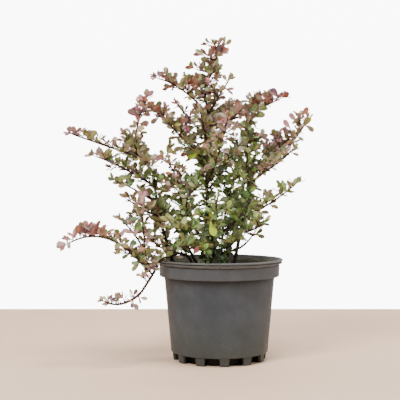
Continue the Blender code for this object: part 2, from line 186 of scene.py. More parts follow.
def glowingWall():
    # A wall that is white to the camera, throws little light back and is clear from behind.
    mat, tree, surface = plainMaterial("paleWall", studio["wallTone"], 0.9)
    seen = addNode(tree, "ShaderNodeLightPath")["Is Camera Ray"]
    glow = seen.mix((0.0, 0.0, 0.0, 1.0), studio["wallTone"])
    feed(surface, Emission_Color=glow, Emission_Strength=studio["wallGlow"])
    behind = addNode(tree, "ShaderNodeNewGeometry")["Backfacing"]
    clear = addNode(tree, "ShaderNodeBsdfTransparent")
    both = addNode(tree, "ShaderNodeMixShader", None, behind, Wire(surface), clear)
    feed(tree.nodes["Material Output"], Surface=both)
    return mat


def buildStudio():
    # One sheet: floor towards the camera, a curve, then the wall. More floor lies behind it.
    wide, bend, wall = studio["halfWidth"], studio["bend"], studio["wallAt"]
    line = [(studio["floorEnds"][0], 0.0), (wall - bend, 0.0)]
    for k in range(1, studio["bendSteps"] + 1):
        a = math.pi / 2.0 * k / studio["bendSteps"]
        line.append((wall - bend + bend * math.sin(a), bend - bend * math.cos(a)))
    line.append((wall, studio["wallTop"]))
    verts = [(x, y, z) for y, z in line for x in (-wide, wide)]
    verts += [(x, y, -0.001) for y in (wall - bend, studio["floorEnds"][1]) for x in (-wide, wide)]
    faces = [(2 * k, 2 * k + 1, 2 * k + 3, 2 * k + 2) for k in range(len(line) + 1) if k != len(line) - 1]
    mesh = bpy.data.meshes.new("paleSweep")
    mesh.from_pydata(verts, [], faces)
    mesh.materials.append(plainMaterial("paleFloor", studio["floorTone"], 0.7)[0])
    mesh.materials.append(glowingWall())
    for k, poly in enumerate(mesh.polygons):
        poly.use_smooth = True
        poly.material_index = 0 if k < studio["floorSteps"] or k == len(faces) - 1 else 1
    sweep = addObject("paleSweep", mesh)
    sky = bpy.data.worlds.new("softSky")
    sky.use_nodes = True
    feed(sky.node_tree.nodes["Background"], Color=studio["skyTone"], Strength=studio["skyPower"])
    bpy.context.scene.world = sky
    for name, lamp in studio["lamps"].items():
        aimLamp(name, *lamp)


setCamera()
buildStudio()
print("camera, floor and lamps set")


def linear(red, green, blue):
    # Screen values from 0 to 255 as the light values that a shader takes.
    def one(v):
        v = v / 255.0
        return v / 12.92 if v <= 0.04045 else ((v + 0.055) / 1.055) ** 2.4

    return (one(red), one(green), one(blue), 1.0)


def surfaceGrain():
    # Fine mottling, and a height for a bump, from the piece's own coordinates.
    inputs = dict(Scale=400.0, Stretch=1.0, Softness=0.5)
    tree, given, out = newTree("surfaceGrain", "ShaderNodeTree", inputs, dict(Mottle="Float", Height="Float"))
    place = addNode(tree, "ShaderNodeTexCoord")["Object"]
    squeeze = addNode(tree, "ShaderNodeCombineXYZ", None, 1.0, 1.0, given["Stretch"])
    scaled = addNode(tree, "ShaderNodeVectorMath", dict(operation="MULTIPLY"), place, squeeze)
    fine = dict(Scale=given["Scale"], Detail=5.0, Roughness=given["Softness"])
    broad = dict(Scale=given["Scale"] * 0.08, Detail=3.0, Roughness=0.6)
    for label, sizes in (("Height", fine), ("Mottle", broad)):
        feed(out, **{label: addNode(tree, "ShaderNodeTexNoise", Vector=scaled, **sizes)["Fac"]})
    return tree


def dustSpecks():
    # Scattered specks: cells whose middle is nearer than a set distance.
    inputs = dict(Scale=60.0, Share=0.2, Size=0.12)
    tree, given, out = newTree("dustSpecks", "ShaderNodeTree", inputs, dict(Mask="Float"))
    place = addNode(tree, "ShaderNodeTexCoord")["Object"]
    cells = addNode(tree, "ShaderNodeTexVoronoi", dict(feature="F1"), Vector=place, Scale=given["Scale"])
    pick = addNode(tree, "ShaderNodeSeparateColor", None, cells["Color"])
    feed(out, Mask=(cells["Distance"] < given["Size"]) * (pick < given["Share"]))
    return tree


# Look of a leaf: hue and saturation as a middle or least value and how far leaves differ.
leafLook = {
    "rimPower": 3.5,
    "tipRim": 0.45,
    "light": 1.12,
    "spread": 1.15,
    "hue": (0.46, 0.08),
    "rich": (0.62, 0.50),
    "ribs": 9.0,
    "ribPale": 0.2,
    "underPale": 0.55,
    "veins": (40.0, 12.0, 0.25),
    "rough": 0.42,
    "shine": 0.22,
    "bump": (0.0002, 0.5),
}


def leafTone():
    # One leaf's colour: its own lightness, a paler midrib, a warmer rim and a pale underside.
    inputs = dict(Blade=(0.2, 0.3, 0.1, 1.0), Rim=(0.3, 0.1, 0.1, 1.0), Under=(0.4, 0.4, 0.35, 1.0))
    inputs.update(RimShare=0.4, Spread=0.5)
    tree, given, out = newTree("leafTone", "ShaderNodeTree", inputs, dict(Color="Color", Height="Float"))
    vary, along, across, under = (
        addNode(tree, "ShaderNodeAttribute", dict(attribute_name=name))["Fac"]
        for name in ("vary", "leafAlong", "leafAcross", "leafUnder")
    )
    across = abs(across)
    tipward = along**2.0 * leafLook["tipRim"]
    rim = sums("MULTIPLY", across ** leafLook["rimPower"] + tipward, given["RimShare"], clamp=True)
    hue = sums("FRACT", vary * 17.0) * leafLook["hue"][1] + leafLook["hue"][0]
    rich = sums("FRACT", vary * 131.0) ** 2.0 * leafLook["rich"][1] + leafLook["rich"][0]
    light = (vary - 0.5) * given["Spread"] + leafLook["light"]
    tone = rim.mix(given["Blade"], given["Rim"])
    shade = addNode(tree, "ShaderNodeHueSaturation", Hue=hue, Saturation=rich, Value=light, Color=tone)
    rib = sums("SUBTRACT", 1.0, across * leafLook["ribs"], clamp=True)
    ribbed = (rib * leafLook["ribPale"]).mix(shade, given["Under"])
    backed = (under * leafLook["underPale"]).mix(ribbed, given["Under"])
    often, slant, depth = leafLook["veins"]
    feed(out, Color=backed, Height=sums("SINE", along * often - across * slant) * depth - rib)
    return tree


grainGroup = surfaceGrain()
speckGroup = dustSpecks()
leafGroup = leafTone()


def groupIn(tree, group, **values):
    return addNode(tree, "ShaderNodeGroup", dict(node_tree=group), **values)


def bumpFrom(height, distance, strength):
    return addNode(height.node.id_data, "ShaderNodeBump", Height=height, Distance=distance, Strength=strength)


# Pot of the photograph: rolled lip, groove, second ridge, collar, tapering wall and a ring of feet.
pot = {
    "sides": 144,
    "height": 0.150,
    "lip": 0.095,
    "collar": 0.0895,
    "collarZ": 0.1245,
    "wallTop": 0.0825,
    "wallFoot": 0.0722,
    "wall": 0.0022,
    "floor": 0.058,
    "footZ": 0.0122,
    "footR": 0.0699,
    "feet": 12,
    "footTurn": 5.0,
    "footHalf": 6.0,
    "footSoft": 0.0008,
    "soilZ": 0.127,
}

# Pot finish: dark grey moulded plastic, a little dusty and weathered low down, with painted shade under the
# collar and between the feet and painted light above the collar step.
potFinish = {
    "tone": linear(64, 70, 78),
    "worn": linear(80, 87, 95),
    "green": linear(64, 68, 52),
    "dust": linear(168, 166, 158),
    "earthy": linear(146, 143, 130),
    "grime": linear(14, 13, 13),
    "edge": linear(110, 113, 112),
    "rough": 0.42,
    "roughSpan": (0.46, 0.62),
    "shine": 0.16,
    "lowBand": (0.075, 0.005),
    "lipBand": (0.1425, 0.1495),
    "shadeBand": (0.018, 0.001),
}


def potPlastic():
    mat, tree, surface = plainMaterial("potPlastic", potFinish["tone"], potFinish["rough"])
    fine = groupIn(tree, grainGroup, Scale=1500.0, Stretch=1.0, Softness=0.55)
    broad = groupIn(tree, grainGroup, Scale=420.0, Stretch=0.8, Softness=0.6)
    specks = groupIn(tree, speckGroup, Scale=260.0, Share=0.16, Size=0.11)
    stains = groupIn(tree, speckGroup, Scale=26.0, Share=0.12, Size=0.22)
    place = addNode(tree, "ShaderNodeSeparateXYZ", None, addNode(tree, "ShaderNodeTexCoord")["Object"])
    level = addNode(tree, "ShaderNodeCombineXYZ", None, place["X"], place["Y"])
    radius = addNode(tree, "ShaderNodeVectorMath", dict(operation="LENGTH"), level)["Value"]
    z = place["Z"]
    step = pot["collarZ"]
    shadow = z.ramp(*(step - depth for depth in potFinish["shadeBand"])) ** 2.2 * 0.75
    # Each layer: where and how strongly it shows, and its tone.
    layers = (
        (broad["Mottle"].ramp(0.35, 0.72, 0.0, 0.6), "worn"),
        (z.ramp(*potFinish["lowBand"]) * broad["Height"], "green"),
        (stains * 0.10, "green"),
        (specks * broad["Height"] * 0.55, "dust"),
        # Compost dust on the inside wall, made pale as painted light where that wall lies in shade.
        ((radius < pot["collar"] - 0.0012) * (z > step + 0.001), "earthy"),
        # Painted shade: the wall darkens just under the collar step, where the collar shades it.
        (shadow * (z < step), "grime"),
        # Painted light: everything above the collar step a little lighter, as if lit from above, and a painted
        # highlight along the top of the lip.
        ((z > step) * 0.16, "edge"),
        (z.ramp(*potFinish["lipBand"], 0.0, 0.75), "edge"),
        # Painted shade: near black in the recess between the feet, where little light reaches.
        ((z < pot["footZ"] + 0.0003) * (radius < pot["footR"] - 0.0045), "grime"),
    )
    tone = potFinish["tone"]
    for share, layer in layers:
        tone = share.mix(tone, potFinish[layer])
    rough = broad["Height"].ramp(0.3, 0.7, *potFinish["roughSpan"])
    feed(surface, Base_Color=tone, Roughness=rough, Specular_IOR_Level=potFinish["shine"])
    feed(surface, Normal=bumpFrom(fine["Height"], 0.0002, 0.35))
    return mat


# Grainy finishes: dark moist peat, old wood low down and redder young shoots. Each has two
# tones, then roughness, stretch, softness, what mixes the tones and where, and the bump.
grainy = {
    "compostEarth": (linear(38, 28, 22), linear(96, 74, 56), 0.9, 1.0, 0.7, "Mottle", 0.68, (0.0012, 0.8)),
    "oldBark": (linear(40, 31, 25), linear(84, 68, 54), 0.75, 0.22, 0.65, "Height", 0.70, (0.0006, 0.7)),
    "youngBark": (linear(46, 31, 26), linear(90, 62, 48), 0.6, 0.22, 0.65, "Height", 0.70, (0.0006, 0.7)),
}


def grainyMaterial(name):
    dark, light, rough, stretch, softness, mixer, end, bump = grainy[name]
    mat, tree, surface = plainMaterial(name, dark, rough)
    grain = groupIn(tree, grainGroup, Scale=900.0, Stretch=stretch, Softness=softness)
    feed(surface, Base_Color=grain[mixer].ramp(0.38, end).mix(dark, light))
    feed(surface, Normal=bumpFrom(grain["Height"], *bump))
    return mat


# Leaf tints: blade, rim and underside as screen values, how much the rim shows, and the slot.
leafTints = {
    "deepGreen": ((70, 96, 52), (52, 70, 38), (102, 124, 72), 0.6, "foliage_green"),
    "midGreen": ((106, 134, 68), (82, 100, 48), (134, 156, 96), 0.6, "foliage_green"),
    "limeGreen": ((142, 172, 80), (118, 134, 62), (176, 190, 124), 0.5, "foliage_green"),
    "freshLime": ((170, 200, 50), (160, 152, 58), (190, 206, 108), 0.4, "foliage_green"),
    "olive": ((132, 142, 80), (110, 100, 60), (174, 174, 126), 0.5, "foliage_bronze"),
    "bronze": ((160, 143, 107), (122, 90, 68), (196, 180, 146), 0.5, "foliage_bronze"),
    "straw": ((208, 190, 154), (152, 116, 94), (220, 206, 174), 0.5, "foliage_bronze"),
    "rust": ((172, 106, 86), (120, 54, 50), (204, 158, 134), 0.7, "foliage_red"),
    "wineRed": ((150, 74, 70), (92, 40, 44), (184, 134, 122), 0.7, "foliage_red"),
    "rose": ((200, 142, 150), (140, 74, 90), (212, 178, 170), 0.7, "foliage_red"),
    "plum": ((132, 100, 106), (86, 54, 66), (178, 150, 146), 0.6, "foliage_red"),
}


def leafMaterial(tint):
    *tones, rimShare, _ = leafTints[tint]
    blade, rim, under = (linear(*tone) for tone in tones)
    mat, tree, surface = plainMaterial(tint + "Leaf", blade, leafLook["rough"])
    values = dict(Blade=blade, Rim=rim, Under=under, RimShare=rimShare, Spread=leafLook["spread"])
    look = groupIn(tree, leafGroup, **values)
    feed(surface, Base_Color=look["Color"], Specular_IOR_Level=leafLook["shine"])
    feed(surface, Normal=bumpFrom(look["Height"], *leafLook["bump"]))
    return mat


print("finishes made")


def growTree(name, **inputs):
    return newTree(name, "GeometryNodeTree", dict(Geometry="Geometry", **inputs), dict(Geometry="Geometry"))


def closeTree(tree, out, geometry, material):
    # Every tree ends the same way: real geometry with its material set.
    real = addNode(tree, "GeometryNodeRealizeInstances", None, geometry)
    feed(out, addNode(tree, "GeometryNodeSetMaterial", Geometry=real, Material=material))
    return tree


def grownMesh(name, start, tree, **values):
    # Runs a Geometry Nodes tree on a start mesh and keeps the result as a plain mesh.
    seed = addObject(name + "Seed", start)
    modifier = seed.modifiers.new("grow", "NODES")
    modifier.node_group = tree
    for item in tree.interface.items_tree:
        if item.item_type == "SOCKET" and item.in_out == "INPUT" and item.name in values:
            modifier[item.identifier] = values[item.name]
    graph = bpy.context.evaluated_depsgraph_get()
    mesh = bpy.data.meshes.new_from_object(seed.evaluated_get(graph))
    seed.modifiers.remove(modifier)
    bpy.data.objects.remove(seed, do_unlink=True)
    bpy.data.meshes.remove(start)
    mesh.name = name
    return addObject(name, mesh)


def meshOf(work, name, *materials):
    mesh = bpy.data.meshes.new(name)
    work.to_mesh(mesh)
    work.free()
    for mat in materials:
        mesh.materials.append(mat)
    return mesh


def angles(sides):
    return [2.0 * math.pi * k / sides for k in range(sides)]


def ringFaces(low, high):
    # The faces between two rings of points.
    after = [(k + 1) % len(low) for k in range(len(low))]
    return [(low[k], low[n], high[n], high[k]) for k, n in enumerate(after)]


def smoothBelow(mesh, degrees):
    for poly in mesh.polygons:
        poly.use_smooth = True
    mesh.set_sharp_from_angle(angle=math.radians(degrees))


def arc(middle, radius, start, end, steps):
    turns = [math.radians(start + (end - start) * k / steps) for k in range(steps + 1)]
    return [(middle[0] + radius * math.cos(a), middle[1] + radius * math.sin(a)) for a in turns]


def potProfile():
    # Radius and height, from the underside up the outside, over the lip and down the inside.
    lip, collar, step, wall = pot["lip"], pot["collar"], pot["collarZ"], pot["wall"]
    top, foot, under, floor = pot["wallTop"], pot["wallFoot"], pot["footZ"], pot["floor"]
    inner = collar - wall
    outside = [(floor - 0.001, 0.0), (floor, 0.0006), (floor, under - 0.0006), (floor + 0.0006, under)]
    outside += [(foot - 0.0032, under), *arc((foot - 0.0016, under + 0.0018), 0.0018, -85.0, 5.0, 6)]
    outside += [(foot + 0.0006, under + 0.008), (top - 0.0008, step - 0.008), (top, step - 0.0012)]
    outside += [(top + 0.0012, step - 0.0002), (collar - 0.0022, step)]
    mouldings = [*arc((collar - 0.0012, step + 0.0012), 0.0012, -85.0, 5.0, 4), (collar + 0.0003, 0.1404)]
    mouldings += [(collar + 0.0002, 0.1414), (collar - 0.0014, 0.1420), (collar - 0.0012, 0.1432)]
    mouldings += [(lip - 0.0030, 0.1435), *arc((lip - 0.0024, 0.1449), 0.0013, -70.0, 70.0, 6)]
    mouldings += [(lip - 0.0034, 0.1464), (lip - 0.0034, 0.1470)]
    mouldings += arc((lip - 0.0013, 0.1487), 0.0013, -80.0, 90.0, 8)
    mouldings += [(lip - 0.0036, pot["height"]), (lip - 0.0046, pot["height"] - 0.0006)]
    inside = [(inner, 0.1450)]
    for z in (0.1422, 0.1372):
        inside += [(inner, z), (inner - 0.0008, z - 0.0006), (inner - 0.0008, z - 0.0014), (inner, z - 0.0020)]
    inside += [(inner, step + wall + 0.001), (inner - 0.001, step + wall), (top - wall, step + wall - 0.001)]
    return outside + mouldings + inside + [(top - wall - 0.003, step - 0.030)]


def lathe(line, sides, closeEnd):
    # The line turned round the pot's axis, closed at its start and, where asked, at its end.
    work = bmesh.new()
    circle = [(math.cos(a), math.sin(a)) for a in angles(sides)]
    rings = [[work.verts.new((r * x, r * y, height)) for x, y in circle] for r, height in line]
    for low, high in zip(rings, rings[1:]):
        for face in ringFaces(low, high):
            work.faces.new(face)
    for k in (0, -1) if closeEnd else (0,):
        hub = work.verts.new((0.0, 0.0, line[k][1]))
        for a, b in zip(rings[k], rings[k][1:] + rings[k][:1]):
            work.faces.new((a, b, hub))
    bmesh.ops.recalc_face_normals(work, faces=work.faces)
    return work


def footBlock(material):
    # One foot, at the angle 0: a block that narrows downwards, with soft edges.
    inner, outer, soft = pot["floor"] - 0.002, pot["footR"], pot["footSoft"]
    half = outer * math.tan(math.radians(pot["footHalf"]))
    work = bmesh.new()

    def corners(x0, y0, x1, y1, z):
        return [work.verts.new((x, y, z)) for x, y in ((x0, -y0), (x1, -y1), (x1, y1), (x0, y0))]

    bottom = corners(inner, half * 0.72, outer - 0.0012, half * 0.86, 0.0)
    top = corners(inner, half * 0.8, outer, half, pot["footZ"] + soft)
    for face in (bottom[::-1], top, *ringFaces(bottom, top)):
        work.faces.new(face)
    edges = [e for e in work.edges if not (e.verts[0] in top and e.verts[1] in top)]
    bmesh.ops.bevel(work, geom=edges, offset=soft, segments=3, affect="EDGES", profile=0.6)
    bmesh.ops.recalc_face_normals(work, faces=work.faces)
    return meshOf(work, "footBlock", material)


def footRingTree():
    tree, given, out = growTree("footRing", Foot="Object", Feet=12, Turn=0.0, Plastic="Material")
    still = dict(Count=given["Feet"], Offset=(0.0, 0.0, 0.0))
    line = addNode(tree, "GeometryNodeMeshLine", dict(mode="OFFSET"), **still)
    block = addNode(tree, "GeometryNodeObjectInfo", Object=given["Foot"])["Geometry"]
    step = sums("DIVIDE", 2.0 * math.pi, given["Feet"])
    angle = addNode(tree, "GeometryNodeInputIndex") * step + given["Turn"]
    turn = addNode(tree, "ShaderNodeCombineXYZ", Z=angle)
    placed = addNode(tree, "GeometryNodeInstanceOnPoints", Points=line, Instance=block, Rotation=turn)
    return closeTree(tree, out, placed, given["Plastic"])


def buildPot():
    plastic = potPlastic()
    block = addObject("footBlock", footBlock(plastic))
    turn = math.radians(pot["footTurn"] - 90.0)
    start = bpy.data.meshes.new("footSeed")
    feet = grownMesh("potFeet", start, footRingTree(), Foot=block, Feet=pot["feet"], Turn=turn, Plastic=plastic)
    work = lathe(potProfile(), pot["sides"], False)
    work.from_mesh(feet.data)
    for part in (block, feet):
        bpy.data.objects.remove(part, do_unlink=True)
    whole = addObject("nurseryPot", meshOf(work, "nurseryPot", plastic))
    smoothBelow(whole.data, 38.0)
    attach(whole, "root")
    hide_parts("pot")


buildPot()
print("pot made")


# Compost: a slightly heaped, crumbly top inside the wall.
soil = {
    "radius": 0.0796,
    "depth": 0.030,
    "rings": 26,
    "sides": 96,
    "heap": 0.0015,
    "lumps": (90.0, 0.0011),
    "grit": (3.1, 0.0006),
    "crumbs": 105000.0,
    "crumb": 0.0013,
    "leastCrumb": (0.45, 0.35, 0.25),
    "mostCrumb": (1.7, 1.3, 0.8),
    "seed": 7,
}


def soilHeight(x, y):
    r = math.hypot(x, y) / soil["radius"]
    often, lump = soil["lumps"]
    finer, grit = soil["grit"]
    point = Vector((x, y, 0.0)) * often
    return soil["heap"] * (1.0 - r * r) + lump * noise.noise(point) + grit * noise.noise(point * finer)


def crumbTree():
    tree, given, out = growTree("crumbScatter", Density=90000.0, Crumb=0.0012, Seed=7, Earth="Material")
    ground, seed = given["Geometry"], given["Seed"]
    level = addNode(tree, "ShaderNodeSeparateXYZ", None, addNode(tree, "GeometryNodeInputNormal"))["Z"] > 0.5
    scatter = dict(Mesh=ground, Selection=level, Density=given["Density"], Seed=seed)
    points = addNode(tree, "GeometryNodeDistributePointsOnFaces", dict(distribute_method="RANDOM"), **scatter)
    crumb = addNode(tree, "GeometryNodeMeshIcoSphere", Radius=given["Crumb"], Subdivisions=1)
    three = dict(data_type="FLOAT_VECTOR")
    size = addNode(tree, "FunctionNodeRandomValue", three, soil["leastCrumb"], soil["mostCrumb"], Seed=seed)
    spin = addNode(tree, "FunctionNodeRandomValue", three, (0.0, 0.0, 0.0), (fullTurn, fullTurn, fullTurn))
    placed = dict(Points=points, Instance=crumb, Rotation=spin, Scale=size)
    placed = addNode(tree, "GeometryNodeInstanceOnPoints", **placed)
    whole = addNode(tree, "GeometryNodeJoinGeometry", None, [placed, ground])
    return closeTree(tree, out, whole, given["Earth"])


def buildSoil():
    rings, radius, top = soil["rings"], soil["radius"], pot["soilZ"]
    line = [(radius * k / rings, top - 0.0008) for k in range(1, rings + 1)]
    line.append((radius - 0.0025, top - soil["depth"]))
    work = lathe(line, soil["sides"], True)
    for vert in work.verts:
        if vert.co.z > top - 0.002:
            vert.co.z += soilHeight(vert.co.x, vert.co.y)
    bmesh.ops.recalc_face_normals(work, faces=work.faces)
    earth = grainyMaterial("compostEarth")
    values = dict(Density=soil["crumbs"], Crumb=soil["crumb"], Seed=soil["seed"], Earth=earth)
    bed = grownMesh("compostBed", meshOf(work, "soilBed"), crumbTree(), **values)
    smoothBelow(bed.data, 50.0)
    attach(bed, "root")
    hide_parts("compost")


buildSoil()
print("compost made")


# Points and reaches in the tables of the shrub are in millimetres.
def metres(point):
    return Vector([v / 1000.0 for v in point])


# What a stem has unless its row ends in values of its own: leaf size, share of spurs with no
# leaf, share of side twigs left out, distance of the spurs, thickness, gaps and spur length.
usual = dict(size=1.0, bare=0.0, thin=0.0, pitch=1.0, stout=1.0, gaps=(), knob=(0.0010, 0.0026))

# Sets of leaf tints; one that is named twice is dealt twice as often.
green = "deepGreen midGreen midGreen"
leafy = "midGreen limeGreen olive"
turning = "olive bronze midGreen"
red = "rust wineRed plum bronze olive"
pink = "rose plum bronze rust"
blush = "rose bronze olive plum"
cream = "straw olive straw rose"

# Limbs, as in the solid model: springing point, tip, bow of the middle and two radii, then
# where the leaves begin, the tints low down and the tints at the tip.
limbs = {
    "centre_stem": ((-10, 0), (-20, 0, 309), (-2, 0, 0), 0.0042, 0.0024, 0.1, green, leafy, dict(size=0.72)),
    "centre_leader": (("centre_stem", 1.0), (-18, 4, 374), (5, 2, -2), 0.0024, 0.0016, 0.0, leafy,
        "olive bronze rust midGreen", dict(size=0.76)),
    "right_stem": ((20, 2), (49, 5, 263), (-1, -2, 3), 0.0028, 0.0022, 0.48, leafy, leafy),
    "right_leader": (("right_stem", 1.0), (69, 10, 289), (0, 0, -2), 0.0022, 0.0018, 0.0, turning,
        "olive bronze rose", dict(pitch=1.4)),
    "left_stem": ((-63, 0), (-98, -20, 277), (-5, 0, -3), 0.0028, 0.0022, 0.16, turning, turning,
        dict(pitch=1.1)),
    "left_fork": (("left_stem", 1.0), (-123, -25, 308), (0, 0, 3), 0.0022, 0.0018, 0.0, turning,
        "olive bronze"),
    "low_limb": ((-36, -20), (-88, -58, 149), (9, 5, 21), 0.0021, 0.0017, 0.5, turning, "bronze olive",
        dict(knob=(0.0016, 0.003))),
    "low_arm": (("low_limb", 1.0), (-112, -74, 108), (3, 1, 3), 0.0017, 0.0014, 0.1, "bronze plum",
        "straw straw plum", dict(size=0.8, bare=0.9, pitch=1.8, knob=(0.0024, 0.004))),
    "low_upright": (("low_arm", 0.48), (-108, -66, 180), (-2, 0, -2), 0.0015, 0.0012, 0.0, "bronze olive",
        "olive rose", dict(size=0.8)),
    "mid_left_stem": ((-24, -3), (-57, -34, 214), (-9, -2, 5), 0.0024, 0.0016, 0.25, green, turning),
    "inner_right": ((5, -12), (10, -18, 226), (-4, 0, 0), 0.0024, 0.0016, 0.1, green, leafy, dict(size=0.76)),
    "front_stem": ((-10, -32), (-12, -68, 186), (2, 8, 4), 0.0022, 0.0015, 0.15, green, green),
    "back_left": ((-18, 24), (-38, 60, 198), (4, -8, 4), 0.0026, 0.0017, 0.2, green, leafy),
    "back_right": ((12, 26), (29, 66, 204), (-3, -9, 4), 0.0026, 0.0017, 0.2, green, leafy),
}

